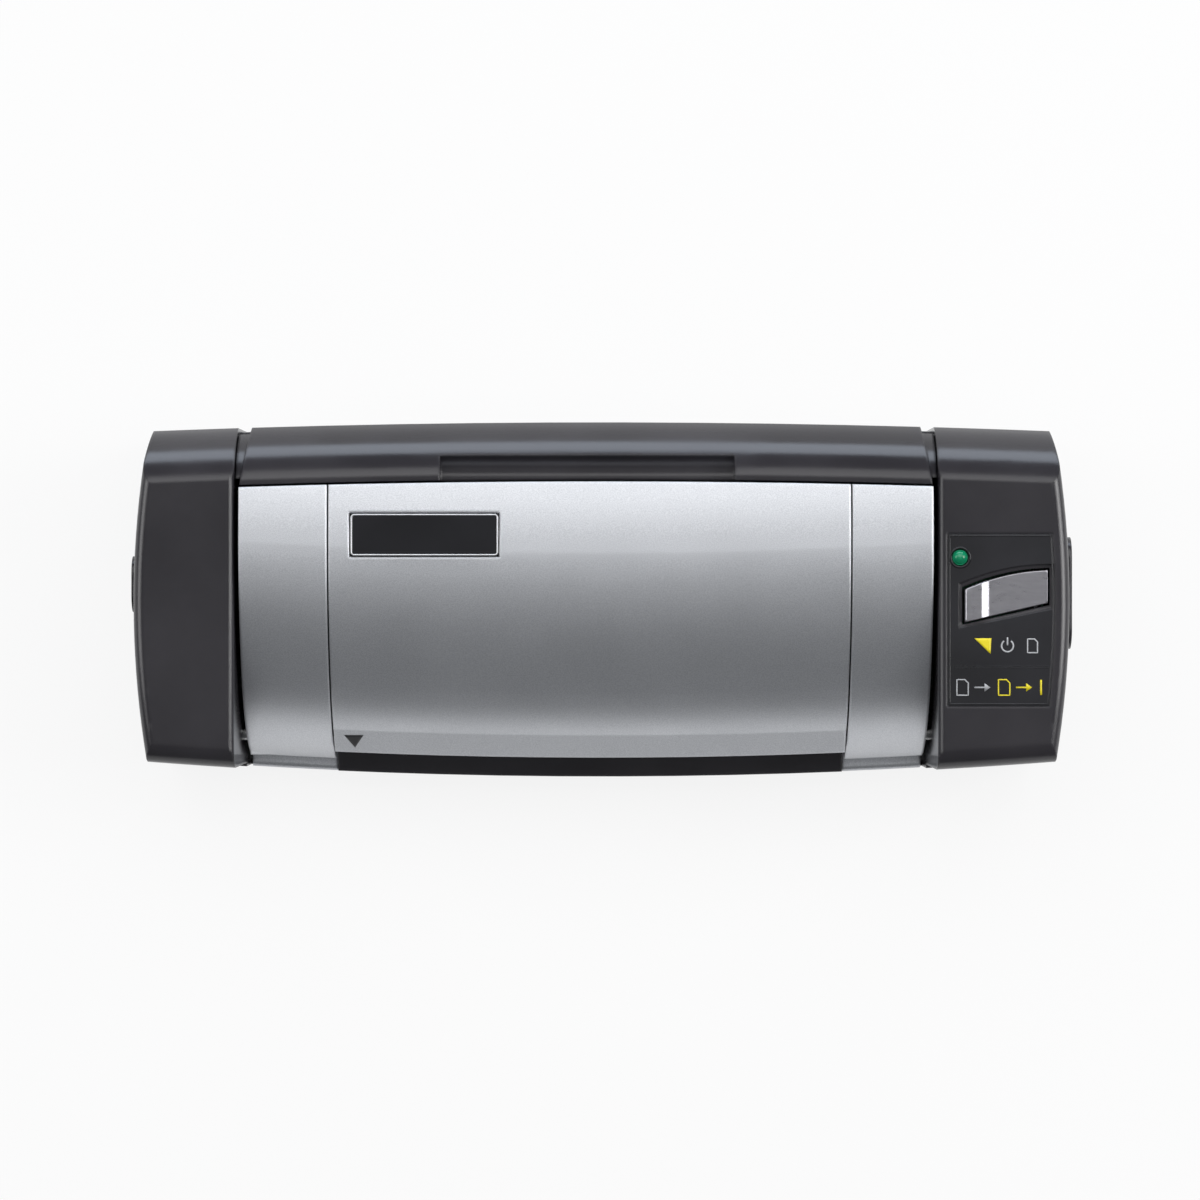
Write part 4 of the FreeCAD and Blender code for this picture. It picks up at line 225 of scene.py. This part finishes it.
plate_low, plate_high = (np.array(corner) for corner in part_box("name_plate"))
plate_gloss = plastic("plate_gloss", dark=(0.006, 0.006, 0.008), light=(0.012, 0.012, 0.015),
                      smooth=0.06, rough=0.12, depth=0.000001, edge=0.0002)
dress(plate_gloss, "name_plate")
bright_line = flake_silver("bright_line", dark=(0.62, 0.63, 0.65), light=(0.80, 0.81, 0.83), edge=0.0)
rim_inset = 0.00035
rim_corner = 0.0006
rim_path = rounded_box(plate_low[0] + rim_inset, plate_high[0] - rim_inset,
                       plate_low[1] + rim_inset, plate_high[1] - rim_inset, rim_corner)
own(bead("plate_rim", rim_path, half_width=0.00016, height=0.00009, floor=plate_face), bright_line, "lid")


# The sheet's arrow: a small black triangle printed on the sloped lip of the middle skin, which
# points to the side where the sheet goes in.
def pad_mesh(name, outline, top, low, rings=3, inner_share=0.12):
    """A thin plate with an outline (x, y): rings shrink in even steps from the outline towards its
    middle, and lie on a top and an underside that each give the height at (x, y)."""
    middle = outline.mean(axis=0)
    shares = np.linspace(inner_share, 1.0, rings)[:, None, None]
    upper = middle + shares * (outline - middle)
    lower = upper[::-1]
    return ring_mesh(name, np.concatenate([raised_rings(upper, top(upper[..., 0], upper[..., 1])),
                                           raised_rings(lower, low(lower[..., 0], lower[..., 1]))]))


ink_thick = 0.00004


def printed(name, outline, floor, material, body):
    """A patch of ink on a surface, which gives the height at each (x, y)."""
    return own(pad_mesh(name, outline, lambda x, y: floor(x, y) + ink_thick,
                        lambda x, y: floor(x, y) - ink_thick), material, body)


def along_edges(corners, steps=6):
    """Points on the straight edges between corners (x, y), the same number on each edge."""
    corners = np.asarray(corners, float)
    share = np.linspace(0.0, 1.0, steps, endpoint=False)[:, None]
    edges = np.roll(corners, -1, axis=0) - corners
    return (corners[:, None] + share * edges[:, None]).reshape(-1, 2)


lip_crease_y, lip_crease_z = (-0.0288, 0.03222)
lip_edge_y, lip_edge_z = (-0.0338, 0.0270)
front_axis_y = 1.2315


def lip_height(x, y):
    """Height on the lip: its straight slope, turned about the front arc's upright axis."""
    slope_y = front_axis_y - np.hypot(front_axis_y - y, x)
    share = (lip_crease_y - slope_y) / (lip_crease_y - lip_edge_y)
    return lip_crease_z + share * (lip_edge_z - lip_crease_z)


arrow_left_x, arrow_tip_x, arrow_right_x = (-0.0556, -0.0534, -0.0514)
arrow_tip_y = -0.0316
arrow_ink = plastic("arrow_ink", dark=(0.012, 0.012, 0.014), light=(0.022, 0.022, 0.025),
                    smooth=0.35, rough=0.5, edge=0.0)
printed("sheet_arrow", along_edges([(arrow_left_x, lip_crease_y), (arrow_tip_x, arrow_tip_y),
                                    (arrow_right_x, lip_crease_y)]), lip_height, arrow_ink, "lid")


# The control panel's overlay: a glossy black polycarbonate sheet with a narrow raised border,
# stuck in a shallow seat on the right cap. Its marks are printed on it.
overlay_gloss = plastic("overlay_gloss", dark=(0.012, 0.012, 0.014), light=(0.020, 0.020, 0.024),
                        smooth=0.13, rough=0.2, pores=5200.0, depth=0.000002, edge=0.0002)
dress(overlay_gloss, "control_overlay")
overlay_low, overlay_high = (np.array(corner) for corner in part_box("control_overlay"))
cap_reach, cap_arc = (0.0993, 0.205)
overlay_margin = 0.0034
border_inset = 0.0004


def cap_top(x, y):
    """Height of the flat top of the right cap, which the overlay lies level with."""
    return np.full_like(x, overlay_high[2])


def border_side(y):
    """X of the border's outer side: an arc inside the cap's own side arc, about the same axis."""
    return cap_reach - cap_arc + np.sqrt((cap_arc - overlay_margin - border_inset) ** 2 - y ** 2)


side_steps, end_steps = (40, 30)
border_left = overlay_low[0] + border_inset
side_y = np.linspace(overlay_high[1] - border_inset, overlay_low[1] + border_inset, side_steps)
side_x = border_side(side_y)
front_x = np.linspace(side_x[-1], border_left, end_steps)[1:]
left_y = side_y[::-1][1:]
rear_x = np.linspace(border_left, side_x[0], end_steps)[1:-1]
border = np.vstack([np.column_stack([side_x, side_y]),
                    np.column_stack([front_x, np.full_like(front_x, side_y[-1])]),
                    np.column_stack([np.full_like(left_y, border_left), left_y]),
                    np.column_stack([rear_x, np.full_like(rear_x, side_y[0])])])
own(bead("overlay_border", border, half_width=0.00016, height=0.00010, floor=cap_top), overlay_gloss, "base")
separator_y = -0.0138
separator_half, separator_corner = (0.00018, 0.00017)
separator = rounded_box(border_left, border_side(separator_y), separator_y - separator_half,
                        separator_y + separator_half, separator_corner)
own(bead("overlay_separator", separator, half_width=0.00008, height=0.00007, floor=cap_top),
    overlay_gloss, "base")

pointer_corners = [(0.0789, -0.0077), (0.0823, -0.0110), (0.0825, -0.0077)]
yellow_ink = plastic("yellow_ink", dark=(0.80, 0.66, 0.01), light=(0.86, 0.72, 0.02),
                     smooth=0.35, rough=0.45, edge=0.0)
printed("yellow_pointer", along_edges(pointer_corners), cap_top, yellow_ink, "base")

grey_ink = plastic("grey_ink", dark=(0.42, 0.43, 0.45), light=(0.52, 0.53, 0.55),
                   smooth=0.4, rough=0.5, edge=0.0)
stroke, page_stroke = (0.00016, 0.000128)
cut_share, head_share = (0.3, 1.4)


def ink_line(name, one_side, other_side, ink):
    """A printed line on the overlay between two rows of points (x, y), as rings of four points."""
    plan = np.stack([one_side, other_side, other_side, one_side], axis=1)
    thickness = ink_thick * np.array([1.0, 1.0, -1.0, -1.0])
    own(ring_mesh(name, raised_rings(plan, cap_top(plan[..., 0], plan[..., 1]) + thickness)), ink, "base")


def upright_bar(name, centre_x, half_width, low_y, high_y, steps, ink):
    """A printed bar along Y."""
    along_y = np.linspace(low_y, high_y, steps)
    ink_line(name, *(np.column_stack([np.full(steps, centre_x + way * half_width), along_y])
                     for way in (1, -1)), ink)


def page_mark(name, centre_x, centre_y, width, height, ink):
    """A sheet of paper: the outline of a rectangle with one corner cut, drawn as a closed line."""
    left, right = centre_x - width / 2, centre_x + width / 2
    front, rear = centre_y - height / 2, centre_y + height / 2
    cut = width * cut_share
    path = along_edges([(left, front), (right, front), (right, rear - cut), (right - cut, rear),
                        (left, rear)])
    own(bead(name, path, half_width=page_stroke, height=ink_thick, floor=cap_top), ink, "base")


def arrow_mark(name, tip_x, tip_y, length, half, ink):
    """An arrow to the right: its shaft widens at once into a triangular head."""
    neck, step, blunt = (tip_x - half * head_share, 0.000001, 0.00002)
    along_x = np.array([tip_x - length, neck - step, neck, tip_x - blunt])
    reach = np.array([stroke, stroke, half, blunt / 2])
    ink_line(name, np.column_stack([along_x, tip_y + reach]), np.column_stack([along_x, tip_y - reach]), ink)


marks_y = -0.0093
power_x, power_radius = (0.0859, 0.00125)
ring_start, ring_end = (math.radians(125), math.radians(415))
ring_turn = np.linspace(ring_start, ring_end, 48)
ring_line = np.column_stack([np.cos(ring_turn), np.sin(ring_turn)])
ink_line("power_ring", *((power_x, marks_y) + (power_radius + way * stroke) * ring_line for way in (1, -1)),
         grey_ink)
power_bar_low, power_bar_high = (marks_y + 0.0001, marks_y + 0.0018)
upright_bar("power_bar", power_x, stroke, power_bar_low, power_bar_high, 5, grey_ink)
feed_page_x = 0.0912
page_mark("feed_page", feed_page_x, marks_y, width=0.0021, height=0.0029, ink=grey_ink)
steps_y = -0.0181
page_width, page_height = (0.0024, 0.0033)
arrow_length, arrow_half = (0.0034, 0.0009)
for step, page_x, tip_x, ink in (("first", 0.0764, 0.0823, grey_ink),
                                 ("second", 0.0852, 0.0911, yellow_ink)):
    page_mark(f"{step}_step_page", page_x, steps_y, page_width, page_height, ink)
    arrow_mark(f"{step}_step_arrow", tip_x, steps_y, arrow_length, arrow_half, ink)
last_bar_x, last_bar_half, last_bar_reach = (0.0930, 0.0002, 0.0016)
upright_bar("last_step_bar", last_bar_x, last_bar_half, steps_y - last_bar_reach, steps_y + last_bar_reach,
            4, yellow_ink)


# The scan button: one plated silver blade on a pivot at its outer end. A ridge like a wave
# crosses it near its free end, where a fingertip presses it, and its rims are rounded.
def plated_silver():
    """Plated plastic, a little smoother and darker than the lid, with faint lines along it."""
    material, nodes, links, shader = new_material("plated_silver")
    lines = noise(nodes, links, scale=900.0, detail=4.0, stretch=(0.5, 2.0, 1.0))
    tone = two_tones(nodes, links, lines, dark=(0.325, 0.32, 0.345), light=(0.355, 0.35, 0.375))
    links.new(tone, shader.inputs["Base Color"])
    links.new(spread(nodes, links, lines, low=0.27, high=0.31), shader.inputs["Roughness"])
    grain(nodes, links, shader, lines, depth=0.0000003, edge=0.0)
    shader.inputs["Metallic"].default_value = 0.96
    return material


button_metal = plated_silver()
button_top, button_under = (0.0504, 0.0472)
button_left, button_right = (0.0768, 0.0945)
blade_front, blade_rear, blade_rise = (-0.0044, 0.0027, 0.0041)
blade_arc = 0.045
roll_depth, roll_reach = (0.00045, 0.0011)
dip_depth, dip_middle, dip_width = (0.00022, 0.0016, 0.0010)
step_depth, step_start, step_length = (0.00095, 0.0031, 0.0026)
lift_height, lift_start, lift_length = (0.00035, 0.0169, 0.0008)
curl_depth, curl_start = (0.00035, 0.93)


def button_plan(cross_steps=44, side_steps=16):
    """Points round the blade, which climbs in Y to the right: straight sides, a straight front edge
    and a rear edge that bulges as a parabola to the height of an arc."""
    along_x = np.linspace(button_right, button_left, cross_steps)
    share = (along_x - button_left) / (button_right - button_left)
    chord = math.hypot(button_right - button_left, blade_rise)
    bulge = blade_arc - math.sqrt(blade_arc ** 2 - (chord / 2) ** 2)
    rear = blade_rear + blade_rise * share + 4 * bulge * share * (1 - share)
    front = blade_front + blade_rise * share
    left_side = np.linspace(rear[-1], front[-1], side_steps)[1:-1]
    right_side = np.linspace(front[0], rear[0], side_steps)[1:-1]
    return np.vstack([np.column_stack([along_x, rear]),
                      np.column_stack([np.full_like(left_side, button_left), left_side]),
                      np.column_stack([along_x[::-1], front[::-1]]),
                      np.column_stack([np.full_like(right_side, button_right), right_side])])


def blade_height(x, rim):
    """Height on the blade, along x and out to its rim, where rim runs from 0 to 1: a free end that
    rolls down as a parabola, a shallow dip as a bell curve in x, a step down behind the ridge by
    three squares less two cubes of its share, a pivot end that turns up as a parabola, and a rim
    that falls away as the quarter of a circle."""
    reach = x - button_left
    roll = roll_depth * np.clip((roll_reach - reach) / roll_reach, 0.0, 1.0) ** 2
    dip = dip_depth * np.exp(-((reach - dip_middle) / dip_width) ** 2)
    fall = np.clip((reach - step_start) / step_length, 0.0, 1.0)
    sink = step_depth * fall ** 2 * (3 - 2 * fall)
    lift = lift_height * np.clip((reach - lift_start) / lift_length, 0.0, 1.0) ** 2
    curl = curl_depth * (1 - np.sqrt(np.clip(1 - rim ** 2, 0.0, 1.0)))
    return button_top - (roll + dip + sink - lift + curl)


blade_rim = button_plan()
blade_middle = np.array([0.0866, 0.0012])
inner_shares, rim_shares = (np.linspace(0.02, 0.9, 26), np.linspace(0.92, 1.0, 9))
shares = np.concatenate([inner_shares, rim_shares])
curl_shares = np.maximum(0.0, (shares - curl_start) / (1 - curl_start))
skin_plan = blade_middle + shares[:, None, None] * (blade_rim - blade_middle)
skin_height = blade_height(skin_plan[..., 0], curl_shares[:, None])
wall_gap, wall_steps = (0.0002, 5)
wall_top = skin_height[-1].min() - wall_gap
wall_height = np.linspace(wall_top, button_under, wall_steps)[:, None] + np.zeros(len(blade_rim))
wall_plan = np.repeat(blade_rim[None], wall_steps, axis=0)
blade_rings = np.concatenate([raised_rings(skin_plan, skin_height), raised_rings(wall_plan, wall_height)])
blade = own(ring_mesh("button_blade", blade_rings), button_metal, "button")

pivot_low, pivot_high = (np.array(corner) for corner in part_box("scan_button"))
pivot_x, pivot_z, pivot_radius = (0.0925, 0.0454, 0.0008)
pin_bevel = 0.0002
pin_steps = 32
around = np.linspace(0.0, 2 * math.pi, pin_steps, endpoint=False)
pin_y = np.array([pivot_low[1], pivot_low[1] + pin_bevel, pivot_high[1] - pin_bevel, pivot_high[1]])[:, None]
pin_radius = (pivot_radius - pin_bevel * np.array([1.0, 0.0, 0.0, 1.0]))[:, None]
pin_rings = np.stack([pivot_x + pin_radius * np.cos(around), pin_y + np.zeros(pin_steps),
                      pivot_z + pin_radius * np.sin(around)], axis=-1)
own(ring_mesh("button_pin", pin_rings), button_metal, "button")
web_half, web_front, web_rear, web_corner = (0.0016, -0.0003, 0.0068, 0.0003)
web_overlap = 0.0002
web_plan = rounded_box(pivot_x - web_half, pivot_x + web_half, web_front, web_rear, web_corner)
own(pad_mesh("button_web", web_plan, lambda x, y: np.full_like(x, button_under + web_overlap),
             lambda x, y: np.full_like(x, pivot_z - pivot_radius)), button_metal, "button")
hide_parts("scan_button")


# The status lamp: a clear green light pipe that stands on the control board and shows as a small
# dome in the cap, in a raised polished ring whose black, darker than the cap's, is painted shade of the well
# round it.
def lamp_green():
    """Glossy green plastic that glows faintly, with haze that shifts its tone and its gloss."""
    material, nodes, links, shader = new_material("lamp_green")
    haze = noise(nodes, links, scale=900.0)
    tone = two_tones(nodes, links, haze, dark=(0.0, 0.16, 0.07), light=(0.005, 0.24, 0.11))
    links.new(tone, shader.inputs["Base Color"])
    links.new(tone, shader.inputs["Emission Color"])
    links.new(spread(nodes, links, haze, low=0.05, high=0.12), shader.inputs["Roughness"])
    shader.inputs["Emission Strength"].default_value = 0.12
    return material


dress(lamp_green(), "status_lamp")
lamp_centre, lamp_ring_radius = (np.array([0.0759, 0.0094]), 0.00205)
turn = np.linspace(0.0, 2 * math.pi, 64, endpoint=False)
lamp_path = lamp_centre + lamp_ring_radius * np.column_stack([np.cos(turn), np.sin(turn)])
# The ring is a real raised bead, but its black is darker than the cap's: painted shade of the well round the
# lamp.
own(bead("lamp_well_shade_ring", lamp_path, half_width=0.00028, height=0.00022, floor=cap_top), plate_gloss, "base")


# The switch below the button: a small black case on the control board, with the plunger that
# the button's free end pushes, moulded in natural acetal.
acetal = plastic("acetal", dark=(0.74, 0.73, 0.68), light=(0.82, 0.81, 0.77),
                 smooth=0.38, rough=0.5, pores=1800.0, depth=0.000003)
inner_black = plastic("inner_black", dark=(0.016, 0.016, 0.018), light=(0.028, 0.028, 0.031),
                      smooth=0.42, rough=0.58, pores=1500.0, depth=0.000008)
dress(inner_black, "tact_switch")
dress(acetal, "switch_plunger")


# The circuit boards: glass-epoxy under green solder mask, with copper tracks that show through
# as paler lines, and pads that are a little duller. The main and the control board are screwed to
# posts, and the sensors' boards are pushed into their channels.
def solder_mask():
    """Green mask: a wave bent by noise draws the tracks, and a voronoi's cells dull the pads."""
    material, nodes, links, shader = new_material("solder_mask")
    place = nodes.new("ShaderNodeTexCoord")
    tracks = nodes.new("ShaderNodeTexWave")
    tracks.inputs["Scale"].default_value = 320.0
    tracks.inputs["Distortion"].default_value = 5.0
    tracks.inputs["Detail"].default_value = 1.0
    pads = nodes.new("ShaderNodeTexVoronoi")
    pads.inputs["Scale"].default_value = 420.0
    for texture in (tracks, pads):
        links.new(place.outputs["Object"], texture.inputs["Vector"])
    mask = two_tones(nodes, links, tracks.outputs["Fac"], dark=(0.008, 0.10, 0.045), light=(0.02, 0.19, 0.08),
                     start=0.55, end=0.62)
    gloss = spread(nodes, links, pads.outputs["Distance"], low=0.18, high=0.34, start=0.1, end=0.4)
    links.new(mask, shader.inputs["Base Color"])
    links.new(gloss, shader.inputs["Roughness"])
    grain(nodes, links, shader, tracks.outputs["Fac"], depth=0.00001, edge=0.0)
    return material


dress(solder_mask(), "main_board", "control_board", "lower_sensor_board", "upper_sensor_board")


# The mouldings under the skins: lid frame, sheet guides, feed bed, sensor channels, flag and
# fork, moulded in matt black ABS with a fine spark-eroded texture. The upper guide is screwed to
# the lid frame, and the feed bed to the tub.
dress(inner_black, "lid_frame", "upper_guide", "feed_bed", "exit_guide", "lower_sensor_channel",
      "upper_sensor_channel", "paper_flag", "flag_sensor")


# The line sensors' windows: thin float glass let into each channel, level with the sheet's path.
# It is ground at its edges and stuck in with a bead of clear glue.
def float_glass():
    """Clear glass with a faint green body and a breath of dust that dulls it in places."""
    material, nodes, links, shader = new_material("float_glass")
    dust = noise(nodes, links, scale=140.0, detail=6.0)
    tone = two_tones(nodes, links, dust, dark=(0.84, 0.93, 0.90), light=(0.92, 0.97, 0.95))
    links.new(tone, shader.inputs["Base Color"])
    links.new(spread(nodes, links, dust, low=0.01, high=0.06), shader.inputs["Roughness"])
    shader.inputs["Transmission Weight"].default_value = 0.85
    shader.inputs["IOR"].default_value = 1.5
    return material


dress(float_glass(), "lower_sensor_glass", "upper_sensor_glass")


# The rollers' tyres and the four feet: black rubber. The tyres are ground to size on the shafts,
# so that they carry fine rings; the feet are moulded discs stuck under the tub.
def ground_rubber():
    """Rubber: noise squeezed along X leaves rings of tone, gloss and relief round each tyre."""
    material, nodes, links, shader = new_material("ground_rubber")
    rings = noise(nodes, links, scale=500.0, detail=3.0, stretch=(6.0, 0.4, 0.4))
    tone = two_tones(nodes, links, rings, dark=(0.022, 0.022, 0.024), light=(0.050, 0.050, 0.053))
    links.new(tone, shader.inputs["Base Color"])
    links.new(spread(nodes, links, rings, low=0.62, high=0.85), shader.inputs["Roughness"])
    grain(nodes, links, shader, rings, depth=0.00004, edge=0.0004)
    return material


foot_rubber = plastic("foot_rubber", dark=(0.020, 0.020, 0.022), light=(0.034, 0.034, 0.036),
                      smooth=0.7, rough=0.88, pores=900.0, depth=0.00002)
dress(ground_rubber(), "drive_rollers", "exit_rollers")
dress(foot_rubber, "rubber_feet")


# The steel pieces: shafts and pins are ground bright, so their scratches run round them, and the
# leaf springs are as bright; side plates and pinch holders are pressed from zinc-plated sheet;
# screws are plated and a little duller.
def worked_metal(name, dark, light, smooth, rough, stretch, scale, depth=0.000006):
    """Metal whose fine scratches are noise, squeezed across the way that the tool went."""
    material, nodes, links, shader = new_material(name)
    scratches = noise(nodes, links, scale, detail=5.0, stretch=stretch)
    links.new(two_tones(nodes, links, scratches, dark, light), shader.inputs["Base Color"])
    links.new(spread(nodes, links, scratches, smooth, rough), shader.inputs["Roughness"])
    grain(nodes, links, shader, scratches, depth, edge=0.0002)
    shader.inputs["Metallic"].default_value = 1.0
    return material


ground_steel = worked_metal("ground_steel", dark=(0.56, 0.57, 0.58), light=(0.68, 0.69, 0.70),
                            smooth=0.16, rough=0.28, stretch=(12.0, 0.6, 0.6), scale=700.0)
zinc_sheet = worked_metal("zinc_sheet", dark=(0.50, 0.51, 0.52), light=(0.64, 0.65, 0.65),
                          smooth=0.28, rough=0.46, stretch=(1.0, 1.0, 1.0), scale=260.0, depth=0.00001)
plated_screw = worked_metal("plated_screw", dark=(0.36, 0.37, 0.38), light=(0.50, 0.51, 0.52),
                            smooth=0.3, rough=0.42, stretch=(1.0, 1.0, 3.0), scale=1400.0)
dress(ground_steel, "drive_shaft", "exit_shaft", "gear_pins", "motor_shaft_rod", "left_hinge_pin",
      "right_hinge_pin", "front_pinch_springs", "rear_pinch_springs", "upper_sensor_springs")
dress(zinc_sheet, "left_side_plate", "right_side_plate", "front_pinch_holder", "rear_pinch_holder")
dress(plated_screw, "base_screws", "lid_screws", "board_screws", "motor_screws")


# The pinch rollers: hard grey acetal wheels moulded in one with their axle, which leaf springs
# press onto the rubber through a steel holder.
wheel_grey = plastic("wheel_grey", dark=(0.20, 0.20, 0.21), light=(0.28, 0.28, 0.29), smooth=0.34, rough=0.46)
dress(wheel_grey, "front_pinch_roller", "rear_pinch_roller")


# The shafts' bushes: pressed and sintered bronze, faintly speckled and damp with oil. They are
# pushed into the side plates.
bronze = worked_metal("sintered_bronze", dark=(0.42, 0.26, 0.10), light=(0.62, 0.42, 0.20),
                      smooth=0.32, rough=0.5, stretch=(1.0, 1.0, 1.0), scale=2600.0, depth=0.00001)
dress(bronze, "shaft_bushes")


# The gears: moulded in natural acetal and pushed on their shafts and pins, with the motor's
# pinion cut from brass rod.
brass = worked_metal("cut_brass", dark=(0.60, 0.44, 0.16), light=(0.78, 0.60, 0.26),
                     smooth=0.2, rough=0.34, stretch=(8.0, 1.0, 1.0), scale=900.0)
dress(acetal, "drive_gear", "exit_gear", "idler_gear", "reduction_gear")
dress(brass, "motor_pinion")


# The stepper motor: a drawn steel can, tin plated, with a flange spot-welded to its face, which
# screws hold to the side plate.
motor_can = worked_metal("motor_can", dark=(0.46, 0.47, 0.49), light=(0.60, 0.61, 0.63),
                         smooth=0.26, rough=0.4, stretch=(0.5, 4.0, 4.0), scale=420.0)
dress(motor_can, "drive_motor")


# The socket in the left side: a shell folded from tinned steel sheet, soldered to the main
# board.
tinned_shell = worked_metal("tinned_shell", dark=(0.56, 0.57, 0.59), light=(0.70, 0.71, 0.73),
                            smooth=0.2, rough=0.32, stretch=(1.0, 6.0, 1.0), scale=800.0)
dress(tinned_shell, "usb_socket")


# The studio: a pale floor under the feet, a wide soft lamp above and behind, a weak one overhead,
# one at each side and a low bluish one behind, and a camera straight above the middle of the lid.
def pale_floor():
    """White to the camera and through glass, and partly in reflections, by the largest share that a
    ray's kind gives; the rest is matt paper, which keeps the object's own soft shadow."""
    material, nodes, links, shader = new_material("pale_floor")
    nodes.remove(shader)
    seen = nodes.new("ShaderNodeLightPath")
    largest = None
    for ray, share in (("Is Camera Ray", 0.86), ("Is Glossy Ray", 0.30), ("Is Transmission Ray", 0.86)):
        scaled = nodes.new("ShaderNodeMath")
        scaled.operation = "MULTIPLY"
        scaled.inputs[1].default_value = share
        links.new(seen.outputs[ray], scaled.inputs[0])
        if largest is None:
            largest = scaled.outputs[0]
            continue
        either = nodes.new("ShaderNodeMath")
        either.operation = "MAXIMUM"
        links.new(largest, either.inputs[0])
        links.new(scaled.outputs[0], either.inputs[1])
        largest = either.outputs[0]
    paper = nodes.new("ShaderNodeBsdfDiffuse")
    paper.inputs["Color"].default_value = (0.86, 0.86, 0.86, 1.0)
    white = nodes.new("ShaderNodeEmission")
    mix = nodes.new("ShaderNodeMixShader")
    links.new(largest, mix.inputs["Fac"])
    links.new(paper.outputs[0], mix.inputs[1])
    links.new(white.outputs[0], mix.inputs[2])
    links.new(mix.outputs[0], nodes["Material Output"].inputs["Surface"])
    return material


def soft_lamp(name, place, aim_z, width, height, power, colour=(1.0, 1.0, 1.0)):
    """A rectangular soft lamp at a place, turned to face a height above the floor's middle."""
    lamp = bpy.data.lights.new(name, "AREA")
    lamp.shape = "RECTANGLE"
    lamp.size, lamp.size_y, lamp.energy, lamp.color = (width, height, power, colour)
    holder = bpy.data.objects.new(name, lamp)
    bpy.context.scene.collection.objects.link(holder)
    x, y, z = place
    holder.location = place
    holder.rotation_euler = (math.atan2(math.hypot(x, y), z - aim_z), 0.0, math.atan2(x, -y))


floor_reach = 3.0
floor_corners = [(-floor_reach, -floor_reach, 0.0), (floor_reach, -floor_reach, 0.0),
                 (floor_reach, floor_reach, 0.0), (-floor_reach, floor_reach, 0.0)]
floor_mesh = bpy.data.meshes.new("floor")
floor_mesh.from_pydata(floor_corners, [], [(0, 1, 2, 3)])
floor_mesh.materials.append(pale_floor())
floor = bpy.data.objects.new("floor", floor_mesh)
bpy.context.scene.collection.objects.link(floor)

soft_lamp("top_lamp", (0.0, 0.63, 1.05), aim_z=0.03, width=1.8, height=0.95, power=9.6)
soft_lamp("overhead_lamp", (0.0, -0.10, 1.50), aim_z=0.03, width=1.6, height=1.1, power=1.1)
soft_lamp("right_lamp", (1.02, 0.17, 0.62), aim_z=0.04, width=0.6, height=0.6, power=7.0)
soft_lamp("left_lamp", (-1.02, 0.17, 0.58), aim_z=0.04, width=0.6, height=0.6, power=3.4)
soft_lamp("rear_lamp", (0.0, 1.25, 0.19), aim_z=0.05, width=1.8, height=0.36, power=7.9,
          colour=(0.80, 0.88, 1.0))

room_light, room_seen = (0.165, 1.0)
world = bpy.data.worlds.new("room")
bpy.context.scene.world = world
world.use_nodes = True
room = world.node_tree.nodes["Background"]
sight = world.node_tree.nodes.new("ShaderNodeLightPath")
level = world.node_tree.nodes.new("ShaderNodeMapRange")
level.inputs["To Min"].default_value = room_light
level.inputs["To Max"].default_value = room_seen
world.node_tree.links.new(sight.outputs["Is Camera Ray"], level.inputs["Value"])
world.node_tree.links.new(level.outputs["Result"], room.inputs["Strength"])
room.inputs["Color"].default_value = (0.95, 0.97, 1.0, 1.0)

camera_height = 0.95
view_centre_x, view_centre_y = (-0.00032, 0.0004)
lens = bpy.data.cameras.new("camera")
lens.lens = 127.6
lens.sensor_width = 36.0
lens.clip_start = 0.01
camera = bpy.data.objects.new("camera", lens)
camera.location = (view_centre_x, view_centre_y, camera_height)
bpy.context.scene.collection.objects.link(camera)
bpy.context.scene.camera = camera
bpy.context.scene.view_settings.view_transform = "Standard"
